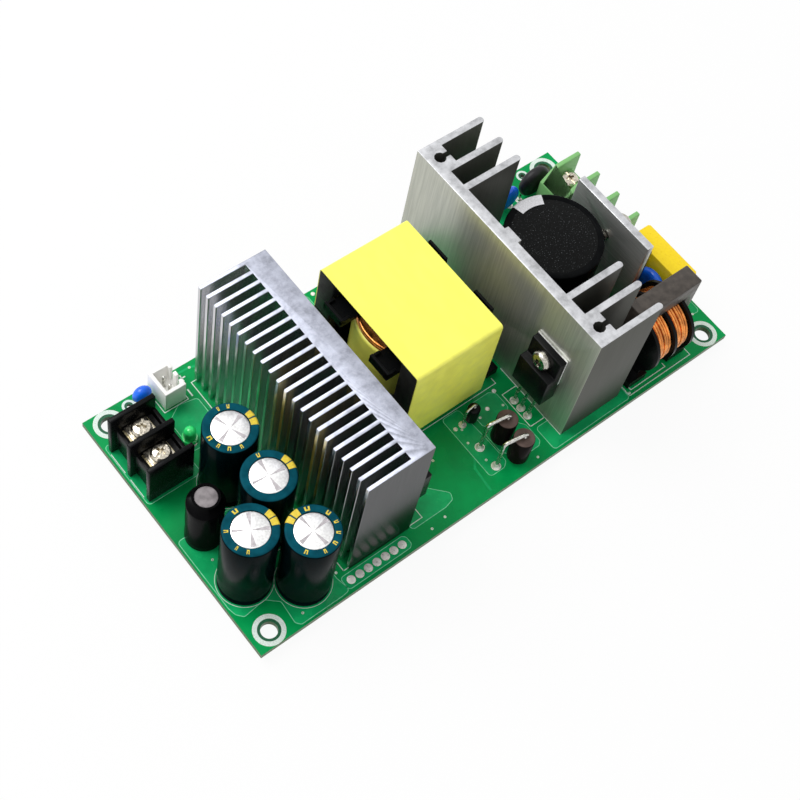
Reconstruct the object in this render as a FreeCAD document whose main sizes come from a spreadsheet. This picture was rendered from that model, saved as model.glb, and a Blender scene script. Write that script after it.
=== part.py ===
import FreeCAD, Part
import math
import os
from types import SimpleNamespace

import Sketcher
from FreeCAD import Placement, Rotation, Vector

# Open frame power supply on one board, in millimetres. X runs along the board from the output end
# to the input end, Y from the near long side to the far one, Z up. The origin is the centre of the
# board's underside.

# Driving dimensions: name, value, what it measures
SIZES = [
    # Board
    ("board_length", 147.0, "board along X"),
    ("board_width", 70.0, "board along Y"),
    ("board_thickness", 1.6, "board along Z"),
    ("fixing_spacing_long", 137.2, "between corner holes along X"),
    ("fixing_spacing_wide", 62.4, "between corner holes along Y"),
    ("fixing_bore", 4.0, "diameter of a corner hole"),
    ("tooling_bore", 1.8, "diameter of a tooling hole"),
    ("tooling_inset_long", 11.3, "tooling hole from the board's end"),
    ("tooling_inset_wide", 2.3, "tooling hole from the far side"),
    ("lead_play", 0.1, "gap round a lead in its hole"),
    ("lead_stub", 1.4, "lead standing out under the board"),
    # Heat sink at the output end
    ("output_sink_face", -27.7, "X of the face that carries the rectifiers"),
    ("output_sink_spine", 6.0, "thickness of the spine"),
    ("output_sink_reach", 11.9, "length of a fin"),
    ("output_sink_span", 60.0, "length along Y"),
    ("output_sink_height", 40.0, "height"),
    ("output_fin_thickness", 0.9, "thickness of a fin"),
    ("output_fin_count", 22, "number of fins"),
    # Heat sink at the input end
    ("input_sink_face", 18.4, "X of the face that carries the switch"),
    ("input_sink_spine", 3.0, "thickness of the spine"),
    ("input_sink_reach", 16.7, "length of a fin"),
    ("input_sink_near", -32.0, "Y of the near end"),
    ("input_sink_far", 33.0, "Y of the far end"),
    ("input_sink_height", 40.0, "height"),
    ("input_fin_thickness", 1.75, "thickness of a fin"),
    ("keyway_gap", 5.4, "gap between the two outermost fins"),
    ("inner_fin_gap", 4.6, "gap from there to the third fin"),
    ("keyway_floor", 3.0, "extra thickness at the root of the keyway gap"),
    ("keyway_mouth", 1.2, "width of the slot into a keyway bore"),
    ("keyway_depth", 2.6, "from the floor to the keyway bore's centre"),
    ("spine_rib_depth", 1.1, "rib inside the large gap"),
    ("spine_rib_width", 4.7, "width of that rib"),
    ("spine_rib_near", 0.0, "Y of that rib's near side"),
    # Plate sink
    ("plate_face", 54.9, "X of the face that carries the bridge"),
    ("plate_thickness", 2.0, "thickness"),
    ("plate_near", -14.9, "Y of the near edge"),
    ("plate_span", 25.1, "length along Y"),
    ("plate_height", 30.0, "height"),
    ("plate_foot", 3.0, "width of a foot through the board"),
    ("plate_foot_inset", 2.5, "foot from the plate's edge"),
    # Screws
    ("screw_shank", 2.7, "diameter of a sink or clamp screw"),
    ("screw_bore", 2.8, "diameter of its hole"),
    ("screw_head", 5.2, "diameter of its head"),
    ("screw_head_height", 2.0, "height of its head"),
    ("sink_screw_length", 7.0, "sink screw under its head"),
    ("clamp_screw_length", 6.5, "clamp screw under its head"),
    ("screw_run_out", 0.5, "bore beyond the screw's end"),
    ("output_screw_spacing", 48.0, "between the output sink's screws"),
    # Transformer
    ("transformer_x", -4.35, "centre along X"),
    ("transformer_y", 5.2, "centre along Y"),
    ("core_stand", 3.4, "core above the board"),
    ("core_length", 35.0, "core along Y"),
    ("core_width", 25.5, "core along X"),
    ("core_height", 28.8, "both halves together"),
    ("core_plate", 4.4, "plate of a half"),
    ("core_leg", 5.3, "leg at its open edges"),
    ("core_window", 32.0, "diameter of the winding window"),
    ("core_post", 14.2, "diameter of the round post"),
    ("core_play", 0.15, "gap between post and bobbin"),
    ("bobbin_wall", 0.7, "wall of the bobbin's tube"),
    ("bobbin_flange", 1.2, "thickness of a flange"),
    ("bobbin_disc", 28.4, "diameter of a flange"),
    ("bobbin_tab_inner", 5.2, "tab's near side from the centre"),
    ("bobbin_tab_outer", 11.6, "tab's far side from the centre"),
    ("bobbin_tab_reach", 15.8, "tab's end from the centre"),
    ("bobbin_rail", 4.8, "thickness of a pin rail"),
    ("bobbin_rail_gap", 0.3, "rail from the core"),
    ("bobbin_rail_span", 20.0, "rail along Y"),
    ("winding_diameter", 24.6, "outside of the winding"),
    ("tape_thickness", 0.2, "tape round the core"),
    ("transformer_pin", 0.8, "side of a pin"),
    ("transformer_pin_pitch", 5.08, "between pins"),
    # Bulk capacitor
    ("bulk_x", 36.5, "centre along X"),
    ("bulk_y", 0.9, "centre along Y"),
    ("bulk_diameter", 24.6, "over the sleeve"),
    ("bulk_height", 30.0, "height"),
    ("bulk_rim", 1.6, "width of the sleeve's rim on top"),
    ("bulk_recess", 0.4, "top disc below the rim"),
    ("bulk_lead_pitch", 10.0, "between its leads"),
    # Output capacitors
    ("can_diameter", 12.6, "over the sleeve"),
    ("can_height", 26.7, "height"),
    ("can_lead_pitch", 5.0, "between its leads"),
    ("can_one_x", -66.0, "first capacitor"),
    ("can_one_y", -18.4, "first capacitor"),
    ("can_row_x", -55.4, "row of three capacitors"),
    ("can_two_y", -26.2, "second capacitor"),
    ("can_three_y", -10.4, "third capacitor"),
    ("can_four_y", 3.6, "fourth capacitor"),
    # Output inductor
    ("inductor_x", -66.95, "centre along X"),
    ("inductor_y", -4.1, "centre along Y"),
    ("inductor_height", 19.4, "height"),
    ("inductor_sleeve_diameter", 8.8, "over the sleeve"),
    ("inductor_neck_diameter", 6.6, "sleeve at the top"),
    ("inductor_neck_height", 3.0, "height of the drawn-in neck"),
    ("inductor_rod", 5.3, "diameter of the ferrite rod"),
    ("inductor_inset", 0.3, "end of the rod below the sleeve's rim"),
    ("inductor_lead_pitch", 5.0, "between its leads"),
    # Screw terminals
    ("pole_pitch", 7.62, "between poles"),
    ("divider", 1.3, "thickness of a divider"),
    ("terminal_depth", 12.2, "from the wire side to the back"),
    ("terminal_floor", 7.7, "floor above the board"),
    ("terminal_setback", 1.8, "pole's front behind the dividers"),
    ("terminal_lip", 1.0, "thickness of the front lip"),
    ("terminal_lip_height", 0.8, "lip above the floor"),
    ("terminal_back", 1.1, "thickness of the back wall"),
    ("terminal_back_height", 1.6, "back wall above the floor"),
    ("terminal_screw_setback", 6.2, "screw from the wire side"),
    ("terminal_screw_head", 5.2, "diameter of the head"),
    ("terminal_screw_head_height", 1.8, "height of the head"),
    ("terminal_screw_shank", 2.9, "diameter of the screw"),
    ("terminal_screw_bore", 3.0, "diameter of its hole"),
    ("terminal_screw_length", 5.0, "screw under its head"),
    ("contact_thickness", 0.7, "sheet of a contact"),
    ("contact_width", 5.6, "contact across the pole"),
    ("contact_length", 6.6, "contact along the pole"),
    ("contact_pin", 1.0, "side of a contact's pin"),
    ("clamp_thickness", 0.7, "sheet of a clamp plate"),
    ("clamp_side", 6.0, "side of a clamp plate"),
    ("output_terminal_front", -72.4, "X of the wire side"),
    ("output_terminal_far", 25.9, "Y of the far side"),
    ("output_terminal_height", 14.4, "dividers above the board"),
    ("input_terminal_front", 71.0, "X of the wire side"),
    ("input_terminal_near", 0.4, "Y of the near side"),
    ("input_terminal_height", 13.4, "dividers above the board"),
    # Fan connector
    ("fan_x", -55.9, "X of its left side"),
    ("fan_y", 26.9, "Y of its near side"),
    ("fan_depth", 5.75, "along X"),
    ("fan_width", 7.45, "along Y"),
    ("fan_height", 7.0, "height"),
    ("fan_wall", 0.9, "wall"),
    ("fan_floor", 1.6, "floor"),
    ("fan_pin_pitch", 2.5, "between pins"),
    ("fan_pin", 0.64, "side of a pin"),
    ("fan_slot", 1.2, "width of a slot in the wall"),
    # Indicator
    ("led_x", -55.6, "centre along X"),
    ("led_y", 17.6, "centre along Y"),
    ("led_diameter", 3.0, "lens"),
    ("led_flange", 3.9, "flange"),
    ("led_flange_height", 1.0, "height of the flange"),
    ("led_height", 4.9, "height"),
    ("dome_share", 0.55, "bevel of the dome, as a share of its radius"),
    ("led_lead_pitch", 2.54, "between its leads"),
    # Round and drop capacitors, thermistor
    ("disc_lead", 0.6, "side of a small part's lead"),
    ("drop_x", -59.0, "blue drop, along X"),
    ("drop_y", 32.0, "blue drop, along Y"),
    ("drop_width", 4.6, "blue drop, width"),
    ("drop_thickness", 3.0, "blue drop, thickness"),
    ("drop_lift", 0.9, "blue drop above the board"),
    ("drop_pitch", 2.5, "between its leads"),
    ("far_disc_x", 50.3, "far blue disc, centre along X"),
    ("far_disc_y", 27.2, "far blue disc, centre along Y"),
    ("near_disc_x", 63.7, "near blue disc, centre along X"),
    ("near_disc_y", -14.0, "near blue disc, centre along Y"),
    ("near_disc_diameter", 9.4, "near blue disc"),
    ("far_disc_diameter", 8.0, "far blue disc"),
    ("disc_thickness", 3.0, "blue discs"),
    ("disc_lift", 0.9, "discs above the board"),
    ("disc_pitch", 7.5, "between a disc's leads"),
    ("far_disc_pitch", 5.0, "between the far disc's leads"),
    ("thermistor_x", 59.9, "centre along X"),
    ("thermistor_y", 27.2, "centre along Y"),
    ("thermistor_diameter", 10.6, "diameter"),
    ("thermistor_thickness", 4.0, "thickness"),
    # Box capacitor and fuse
    ("box_x", 65.7, "X of its left side"),
    ("box_y", -20.8, "Y of its near side"),
    ("box_depth", 6.0, "along X"),
    ("box_width", 18.0, "along Y"),
    ("box_height", 12.0, "above its feet"),
    ("box_foot", 0.4, "feet under the case"),
    ("box_edge", 0.5, "bevel of the upright edges"),
    ("box_pitch", 15.0, "between its leads"),
    ("fuse_x", 59.9, "X of its left side"),
    ("fuse_y", -8.9, "Y of its near side"),
    ("fuse_depth", 4.0, "along X"),
    ("fuse_width", 8.4, "along Y"),
    ("fuse_height", 8.0, "height"),
    ("fuse_pitch", 5.08, "between its leads"),
    # Line filter choke
    ("choke_x", 50.8, "centre along X"),
    ("choke_y", -24.85, "centre along Y"),
    ("choke_frame_length", 19.8, "ferrite frame along X"),
    ("choke_frame_depth", 5.5, "ferrite frame along Y"),
    ("choke_frame_base", 8.9, "underside of the frame above the board"),
    ("choke_leg", 5.0, "lower and upper bar"),
    ("choke_side", 3.5, "end bars"),
    ("choke_frame_top", 26.4, "top of the frame above the board"),
    ("choke_play", 0.1, "gap between frame and bobbin"),
    ("choke_tube_wall", 0.7, "bobbin tube"),
    ("choke_flange", 0.9, "flange thickness"),
    ("choke_flange_diameter", 18.6, "flange"),
    ("choke_winding_diameter", 17.0, "winding"),
    ("choke_foot_width", 12.0, "flange at the board"),
    ("choke_foot_span", 14.2, "foot block along Y"),
    ("choke_foot_length", 6.0, "foot block along X"),
    ("choke_foot_height", 2.4, "foot block"),
    ("choke_pin", 1.0, "side of a pin"),
    ("choke_pin_inset", 1.4, "pin from the foot's edge"),
    # Power semiconductors
    ("device_width", 10.1, "case along Y"),
    ("device_height", 15.9, "case along Z"),
    ("device_thickness", 4.6, "moulded case"),
    ("device_tab", 2.3, "upper part with the screw hole"),
    ("device_step", 6.2, "height of that upper part"),
    ("device_hole_drop", 3.4, "screw hole from the top"),
    ("device_lift", 9.7, "case above the board"),
    ("device_lead_width", 0.8, "lead across"),
    ("device_lead_thickness", 0.5, "lead through"),
    ("device_lead_pitch", 2.54, "between leads"),
    ("device_lead_back", 2.2, "lead from the sink at the case"),
    ("device_lead_out", 3.4, "lead from the sink at the board"),
    ("device_bend_high", 3.0, "straight lead under the case"),
    ("device_bend_low", 5.2, "end of the bend under the case"),
    ("switch_y", -20.8, "switch transistor along Y"),
    ("rectifier_near_y", -23.2, "first rectifier along Y"),
    ("rectifier_far_y", -5.0, "second rectifier along Y"),
    ("bridge_width", 22.0, "bridge along Y"),
    ("bridge_height", 18.5, "bridge along Z"),
    ("bridge_thickness", 3.6, "bridge"),
    ("bridge_corner", 3.0, "cut corner"),
    ("bridge_lift", 9.0, "bridge above the board"),
    ("bridge_hole_drop", 6.0, "screw hole from the top"),
    ("bridge_lead_width", 1.0, "side of a lead"),
    ("bridge_lead_pitch", 5.08, "between leads"),
    # Standing parts near the switch
    ("diode_diameter", 5.3, "standing diode"),
    ("diode_length", 9.0, "standing diode"),
    ("diode_lift", 1.4, "above the board"),
    ("diode_lead", 0.9, "side of a lead"),
    ("diode_loop", 1.2, "top of the bent lead above the body"),
    ("diode_pitch", 5.5, "from the axis to the bent lead"),
    ("diode_turn", 168.5, "direction of the bent lead, degrees"),
    ("diode_x", 5.0, "both diodes along X"),
    ("diode_first_y", -24.4, "first diode"),
    ("diode_second_y", -30.5, "second diode"),
    ("resistor_x", 2.6, "standing resistor along X"),
    ("resistor_y", -16.2, "standing resistor along Y"),
    ("resistor_diameter", 3.2, "standing resistor"),
    ("resistor_length", 5.3, "standing resistor"),
    ("resistor_lift", 0.6, "above the board"),
    ("resistor_pitch", 2.5, "from the axis to the bent lead"),
    ("resistor_turn", 180.0, "direction of the bent lead, degrees"),
    # Small integrated parts
    ("optocoupler_x", -3.9, "centre along X"),
    ("optocoupler_y", 28.0, "centre along Y"),
    ("optocoupler_length", 6.5, "along X"),
    ("optocoupler_width", 4.6, "along Y"),
    ("optocoupler_height", 3.5, "height"),
    ("optocoupler_lift", 0.5, "above the board"),
    ("optocoupler_row", 7.62, "between lead rows"),
    ("optocoupler_pitch", 2.54, "between leads"),
    ("chip_x", 16.5, "centre along X"),
    ("chip_y", -5.0, "centre along Y"),
    ("chip_length", 4.9, "along X"),
    ("chip_width", 3.9, "along Y"),
    ("chip_height", 1.4, "height"),
    ("chip_lead_reach", 1.1, "lead beyond the case"),
    ("chip_lead_pitch", 1.27, "between leads"),
    ("chip_lead_width", 0.45, "lead across"),
    ("chip_lead_thickness", 0.25, "lead through"),
]

# Small fasteners repeat, so they and their bores have ten flats and not a full circle
FASTENER_SIDES = 10

doc = FreeCAD.newDocument("power_supply")
sheet = doc.addObject("Spreadsheet::Sheet", "size")
for row, (alias, value, meaning) in enumerate(SIZES, 1):
    sheet.set(f"A{row}", str(value))
    sheet.setAlias(f"A{row}", alias)
    sheet.set(f"B{row}", meaning)
doc.recompute()


class Size:
    """A number worked out from the sheet, with the same sum written as an expression."""

    def __init__(self, value, text):
        self.value = float(value)
        self.text = text

    def __add__(self, other):
        other = as_size(other)
        return Size(self.value + other.value, f"({self.text} + {other.text})")

    def __sub__(self, other):
        other = as_size(other)
        return Size(self.value - other.value, f"({self.text} - {other.text})")

    def __mul__(self, other):
        other = as_size(other)
        return Size(self.value * other.value, f"({self.text} * {other.text})")

    def __truediv__(self, other):
        other = as_size(other)
        return Size(self.value / other.value, f"({self.text} / {other.text})")

    def __neg__(self):
        return Size(-self.value, f"(0 - {self.text})")

    __radd__ = __add__
    __rmul__ = __mul__

    def __rsub__(self, other):
        return as_size(other) - self


def as_size(number):
    return number if isinstance(number, Size) else Size(number, f"({number})")


def leg(long_side, other_side):
    """The third side of a right-angled triangle with the given long side."""
    value = math.sqrt(long_side.value ** 2 - other_side.value ** 2)
    return Size(value, f"sqrt({long_side.text}^2 - {other_side.text}^2)")


s = SimpleNamespace(**{alias: Size(value, f"size.{alias}") for alias, value, meaning in SIZES})
deck = s.board_thickness
under = -s.lead_stub

subparts = []
pockets = []
lead_holes = []
radial_leads = []
terminal_metal = {"screws": [], "clamps": [], "contacts": []}


def keep(thing, label):
    """Give a finished sub-part the label that names its file."""
    thing.Label = label
    subparts.append(thing)
    return thing


def bind(thing, name, size):
    size = as_size(size)
    setattr(thing, name, size.value)
    thing.setExpression(name, size.text)


def place(thing, x, y, z, turn=None):
    """Set a sub-part's place, and its turn if it has one."""
    x, y, z = as_size(x), as_size(y), as_size(z)
    thing.Placement = Placement(Vector(x.value, y.value, z.value), turn or Rotation())
    for axis, size in zip("xyz", (x, y, z)):
        thing.setExpression(f"Placement.Base.{axis}", size.text)
    return thing


# Sketches and the features made from them


def new_body(name):
    return doc.addObject("PartDesign::Body", name)


def sketch_on(body, plane, offset=0):
    """A sketch on one of the body's own origin planes, moved along that plane's normal."""
    offset = as_size(offset)
    sketch = body.newObject("Sketcher::SketchObject", f"{body.Name}_sketch")
    face = next(item for item in body.Origin.OriginFeatures if item.Role == plane)
    sketch.AttachmentSupport = [(face, "")]
    sketch.MapMode = "FlatFace"
    sketch.AttachmentOffset = Placement(Vector(0, 0, offset.value), Rotation())
    sketch.setExpression("AttachmentOffset.Base.z", offset.text)
    return sketch


def constrain(sketch, wanted):
    """Add constraints, each with the size that drives it or None."""
    first = sketch.ConstraintCount
    sketch.addConstraint([constraint for constraint, size in wanted])
    for index, (constraint, size) in enumerate(wanted):
        if size is not None:
            sketch.setExpression(f"Constraints[{first + index}]", size.text)


def from_origin(direction, geometry, end, size):
    size = as_size(size)
    return Sketcher.Constraint(direction, -1, 1, geometry, end, size.value), size


class Bend:
    """The side that leaves a corner is an arc about this centre, anticlockwise unless told."""

    def __init__(self, x, y, clockwise=False):
        self.x = as_size(x)
        self.y = as_size(y)
        self.clockwise = clockwise


def outline(sketch, corners):
    """A closed run of sides. A corner is (x, y), or (x, y, Bend) where an arc leaves it."""
    first = sketch.GeometryCount
    points = [Vector(as_size(c[0]).value, as_size(c[1]).value, 0) for c in corners]
    sides = []
    ends = []
    for index, corner in enumerate(corners):
        start = points[index]
        stop = points[(index + 1) % len(points)]
        if len(corner) == 2:
            sides.append(Part.LineSegment(start, stop))
            ends.append((1, 2))
            continue
        centre = Vector(corner[2].x.value, corner[2].y.value, 0)
        if corner[2].clockwise:
            start, stop = stop, start
        low = math.atan2(start.y - centre.y, start.x - centre.x)
        high = math.atan2(stop.y - centre.y, stop.x - centre.x)
        if high <= low:
            high += 2 * math.pi
        circle = Part.Circle(centre, Vector(0, 0, 1), (start - centre).Length)
        sides.append(Part.ArcOfCircle(circle, low, high))
        ends.append((2, 1) if corner[2].clockwise else (1, 2))
    sketch.addGeometry(sides, False)
    wanted = []
    for index, corner in enumerate(corners):
        here = first + index
        before = first + (index - 1) % len(corners)
        joint = Sketcher.Constraint("Coincident", before, ends[index - 1][1], here, ends[index][0])
        wanted.append((joint, None))
        wanted.append(from_origin("DistanceX", here, ends[index][0], corner[0]))
        wanted.append(from_origin("DistanceY", here, ends[index][0], corner[1]))
        if len(corner) == 3:
            chord = points[(index + 1) % len(points)] - points[index]
            if abs(chord.y) > abs(chord.x):
                wanted.append(from_origin("DistanceX", here, 3, corner[2].x))
            else:
                wanted.append(from_origin("DistanceY", here, 3, corner[2].y))
    constrain(sketch, wanted)


def rectangle(sketch, x, y):
    """A rectangle between a low and a high value each way."""
    outline(sketch, [(x[0], y[0]), (x[1], y[0]), (x[1], y[1]), (x[0], y[1])])


def circle(sketch, x, y, diameter):
    x, y, radius = as_size(x), as_size(y), as_size(diameter) / 2
    shape = Part.Circle(Vector(x.value, y.value, 0), Vector(0, 0, 1), radius.value)
    index = sketch.addGeometry(shape, False)
    size = (Sketcher.Constraint("Radius", index, radius.value), radius)
    constrain(sketch, [size, from_origin("DistanceX", index, 3, x), from_origin("DistanceY", index, 3, y)])


def many_sided(sketch, x, y, corner_radius):
    """A regular outline of FASTENER_SIDES sides in place of a small circle."""
    x, y = as_size(x), as_size(y)
    corners = []
    for side in range(FASTENER_SIDES):
        angle = math.radians(360 * (side + 0.5) / FASTENER_SIDES)
        along, up = round(math.cos(angle), 6), round(math.sin(angle), 6)
        corners.append((x + corner_radius * along, y + corner_radius * up))
    outline(sketch, corners)


def bore(sketch, x, y, diameter):
    """The hole of a small fastener, its flats the bore's diameter apart."""
    many_sided(sketch, x, y, diameter / (2 * math.cos(math.pi / FASTENER_SIDES)))


def plane_offset(plane, low, high):
    """Where a sketch lies so that its feature runs from low to high along the world axis."""
    return -as_size(high) if plane == "XZ_Plane" else as_size(low)


def pad(body, plane, low, high):
    """An empty sketch whose pad runs between two places along the plane's axis."""
    sketch = sketch_on(body, plane, plane_offset(plane, low, high))
    feature = body.newObject("PartDesign::Pad", f"{body.Name}_pad")
    feature.Profile = sketch
    bind(feature, "Length", as_size(high) - low)
    return sketch


def cut(body, plane, low, high):
    """An empty sketch whose pocket runs between two places along the plane's axis."""
    sketch = sketch_on(body, plane, plane_offset(plane, low, high))
    feature = body.newObject("PartDesign::Pocket", f"{body.Name}_pocket")
    feature.Profile = sketch
    feature.Reversed = True
    bind(feature, "Length", as_size(high) - low)
    pockets.append(feature)
    return sketch


def turned(body, corners):
    """Revolve a half profile of (radius, height) corners about the body's own Z axis."""
    sketch = sketch_on(body, "XZ_Plane")
    outline(sketch, corners)
    feature = body.newObject("PartDesign::Revolution", f"{body.Name}_turned")
    feature.Profile = sketch
    feature.ReferenceAxis = (sketch, ["V_Axis"])
    feature.Angle = 360
    return feature


# Plain solids and groups


def box(name, x, y, z):
    """A box between a low and a high value each way."""
    made = doc.addObject("Part::Box", name)
    for side, (low, high) in zip(("Length", "Width", "Height"), (x, y, z)):
        bind(made, side, as_size(high) - low)
    return place(made, x[0], y[0], z[0])


def about(centre, width):
    """The low and high value of something this wide about a centre."""
    half = as_size(width) / 2
    return as_size(centre) - half, as_size(centre) + half


def group(name, things):
    made = doc.addObject("Part::Compound", name)
    made.Links = things
    return made


def carved(name, base, tool):
    made = doc.addObject("Part::Cut", name)
    made.Base = base
    made.Tool = tool
    return made


def lead_hole(x, y, across, through):
    """The hole in the board for a lead, with play all round."""
    gap = s.lead_play * 2
    hole = box("lead_hole", about(x, across + gap), about(y, through + gap), (-deck, deck * 2))
    lead_holes.append(hole)


def lead(x, y, side, top=deck, through=None):
    """A straight lead from under the board up to the part that it carries."""
    through = through or side
    lead_hole(x, y, side, through)
    return box("lead", about(x, side), about(y, through), (under, top))


# Fasteners

ALONG_X = Rotation(Vector(0, 1, 0), 90)
AGAINST_X = Rotation(Vector(0, 1, 0), -90)
UPSIDE_DOWN = Rotation(Vector(0, 1, 0), 180)


def pan_screw(name, head, head_height, shank, length):
    """A pan head screw that points up, with the seat of its head at zero."""
    body = new_body(name)
    sketch = pad(body, "XY_Plane", -head_height, 0)
    many_sided(sketch, 0, 0, head / 2)
    sketch = pad(body, "XY_Plane", 0, length)
    many_sided(sketch, 0, 0, shank / 2)
    return body


def sink_screw(x, y):
    screw = pan_screw("sink_screw", s.screw_head, s.screw_head_height, s.screw_shank, s.sink_screw_length)
    return place(screw, x, y, 0)


def clamp_screw(x, y, z, turn):
    screw = pan_screw("clamp_screw", s.screw_head, s.screw_head_height, s.screw_shank, s.clamp_screw_length)
    return place(screw, x, y, z, turn)


# Places that more than one piece shares

output_sink_near = -s.output_sink_span / 2
output_screw_x = s.output_sink_face - s.output_sink_spine / 2
output_screw_y = (-s.output_screw_spacing / 2, s.output_screw_spacing / 2)
keyway_face = s.input_sink_face + s.input_sink_spine + s.keyway_floor
keyway_x = keyway_face - s.keyway_depth
keyway_offset = s.input_fin_thickness + s.keyway_gap / 2
keyway_y = (s.input_sink_near + keyway_offset, s.input_sink_far - keyway_offset)
device_base = deck + s.device_lift
device_hole_z = device_base + s.device_height - s.device_hole_drop
plate_middle = s.plate_near + s.plate_span / 2
bridge_base = deck + s.bridge_lift
bridge_hole_z = bridge_base + s.bridge_height - s.bridge_hole_drop
sink_bore_top = deck + s.sink_screw_length - s.board_thickness + s.screw_run_out


def make_output_heatsink():
    """Extruded comb: one thick spine with a row of thin fins on its outer side."""
    body = new_body("output_heatsink_body")
    top = deck + s.output_sink_height
    spine_back = s.output_sink_face - s.output_sink_spine
    sketch = pad(body, "XY_Plane", deck, top)
    rectangle(sketch, (spine_back, s.output_sink_face), about(0, s.output_sink_span))
    sketch = pad(body, "XY_Plane", deck, top)
    fin_x = (spine_back - s.output_sink_reach, spine_back)
    rectangle(sketch, fin_x, (output_sink_near, output_sink_near + s.output_fin_thickness))
    row = body.newObject("PartDesign::LinearPattern", "output_fin_row")
    row.Originals = [body.Group[body.Group.index(row) - 1]]
    row.Direction = (sketch, ["V_Axis"])
    bind(row, "Length", s.output_sink_span - s.output_fin_thickness)
    row.Occurrences = int(s.output_fin_count.value)
    row.setExpression("Occurrences", s.output_fin_count.text)
    body.Tip = row
    sketch = cut(body, "XY_Plane", deck, sink_bore_top)
    for y in output_screw_y:
        bore(sketch, output_screw_x, y, s.screw_bore)
    depth = s.clamp_screw_length - s.device_tab + s.screw_run_out
    sketch = cut(body, "YZ_Plane", s.output_sink_face - depth, s.output_sink_face)
    for y in (s.rectifier_near_y, s.rectifier_far_y):
        bore(sketch, y, device_hole_z, s.screw_bore)
    keep(body, "output_heatsink")


def fin_sides(root, tip, low):
    """Corners of one fin with a round tip, from its low side to its high side."""
    radius = s.input_fin_thickness / 2
    high = low + s.input_fin_thickness
    round_tip = Bend(tip - radius, low + radius)
    return [(root, low), (tip - radius, low, round_tip), (tip - radius, high), (root, high)]


def make_input_heatsink():
    """Extruded sink: three round-tipped fins at each end, and a screw keyway between the outer two."""
    body = new_body("input_heatsink_body")
    top = deck + s.input_sink_height
    root = s.input_sink_face + s.input_sink_spine
    tip = root + s.input_sink_reach
    fin = s.input_fin_thickness
    near, far = s.input_sink_near, s.input_sink_far
    near_second = near + fin + s.keyway_gap
    near_third = near_second + fin + s.inner_fin_gap
    far_second = far - fin * 2 - s.keyway_gap
    far_third = far_second - s.inner_fin_gap - fin
    rib = (s.spine_rib_near, s.spine_rib_near + s.spine_rib_width)
    corners = [(s.input_sink_face, near)]
    corners += fin_sides(root, tip, near)[1:3] + [(keyway_face, near + fin)]
    corners += [(keyway_face, near_second)] + fin_sides(root, tip, near_second)[1:]
    corners += fin_sides(root, tip, near_third)
    corners += [(root, rib[0]), (root + s.spine_rib_depth, rib[0])]
    corners += [(root + s.spine_rib_depth, rib[1]), (root, rib[1])]
    corners += fin_sides(root, tip, far_third)
    corners += fin_sides(root, tip, far_second)[:3] + [(keyway_face, far_second + fin)]
    corners += [(keyway_face, far - fin)] + fin_sides(root, tip, far - fin)[1:3]
    corners += [(s.input_sink_face, far)]
    sketch = pad(body, "XY_Plane", deck, top)
    outline(sketch, corners)
    sketch = cut(body, "XY_Plane", deck, top)
    for y in keyway_y:
        bore(sketch, keyway_x, y, s.screw_bore)
    sketch = cut(body, "XY_Plane", deck, top)
    for y in keyway_y:
        rectangle(sketch, (keyway_x, keyway_face), about(y, s.keyway_mouth))
    sketch = cut(body, "YZ_Plane", s.input_sink_face, root)
    bore(sketch, s.switch_y, device_hole_z, s.screw_bore)
    keep(body, "input_heatsink")


def make_rectifier_heatsink():
    """Plain plate with two feet through the board."""
    body = new_body("rectifier_heatsink_body")
    x = (s.plate_face - s.plate_thickness, s.plate_face)
    near, far = s.plate_near, s.plate_near + s.plate_span
    near_foot, far_foot = near + s.plate_foot_inset, far - s.plate_foot_inset
    sketch = pad(body, "YZ_Plane", x[0], x[1])
    corners = [(near, deck), (near_foot, deck), (near_foot, under), (near_foot + s.plate_foot, under),
               (near_foot + s.plate_foot, deck), (far_foot - s.plate_foot, deck),
               (far_foot - s.plate_foot, under), (far_foot, under), (far_foot, deck), (far, deck),
               (far, deck + s.plate_height), (near, deck + s.plate_height)]
    outline(sketch, corners)
    sketch = cut(body, "YZ_Plane", x[0], x[1])
    bore(sketch, plate_middle, bridge_hole_z, s.screw_bore)
    keep(body, "rectifier_heatsink")
    for y in (near_foot + s.plate_foot / 2, far_foot - s.plate_foot / 2):
        lead_hole(s.plate_face - s.plate_thickness / 2, y, s.plate_thickness, s.plate_foot)


def make_screws():
    """Pan head screws: four up through the board into the sinks, four that clamp the power parts."""
    screws = [sink_screw(output_screw_x, y) for y in output_screw_y]
    screws += [sink_screw(keyway_x, y) for y in keyway_y]
    rectifier_seat = s.output_sink_face + s.device_tab
    screws += [clamp_screw(rectifier_seat, y, device_hole_z, AGAINST_X)
               for y in (s.rectifier_near_y, s.rectifier_far_y)]
    screws.append(clamp_screw(s.input_sink_face - s.device_tab, s.switch_y, device_hole_z, ALONG_X))
    bridge_seat = s.plate_face + s.bridge_thickness
    screws.append(clamp_screw(bridge_seat, plate_middle, bridge_hole_z, AGAINST_X))
    keep(group("sink_screw_set", screws), "heatsink_screws")


# Transformer

core_base = deck + s.core_stand
core_top = core_base + s.core_height
flange_low = core_base + s.core_plate
flange_high = core_top - s.core_plate
bobbin_bore = s.core_post + s.core_play * 2
bobbin_tube = bobbin_bore + s.bobbin_wall * 2


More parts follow.
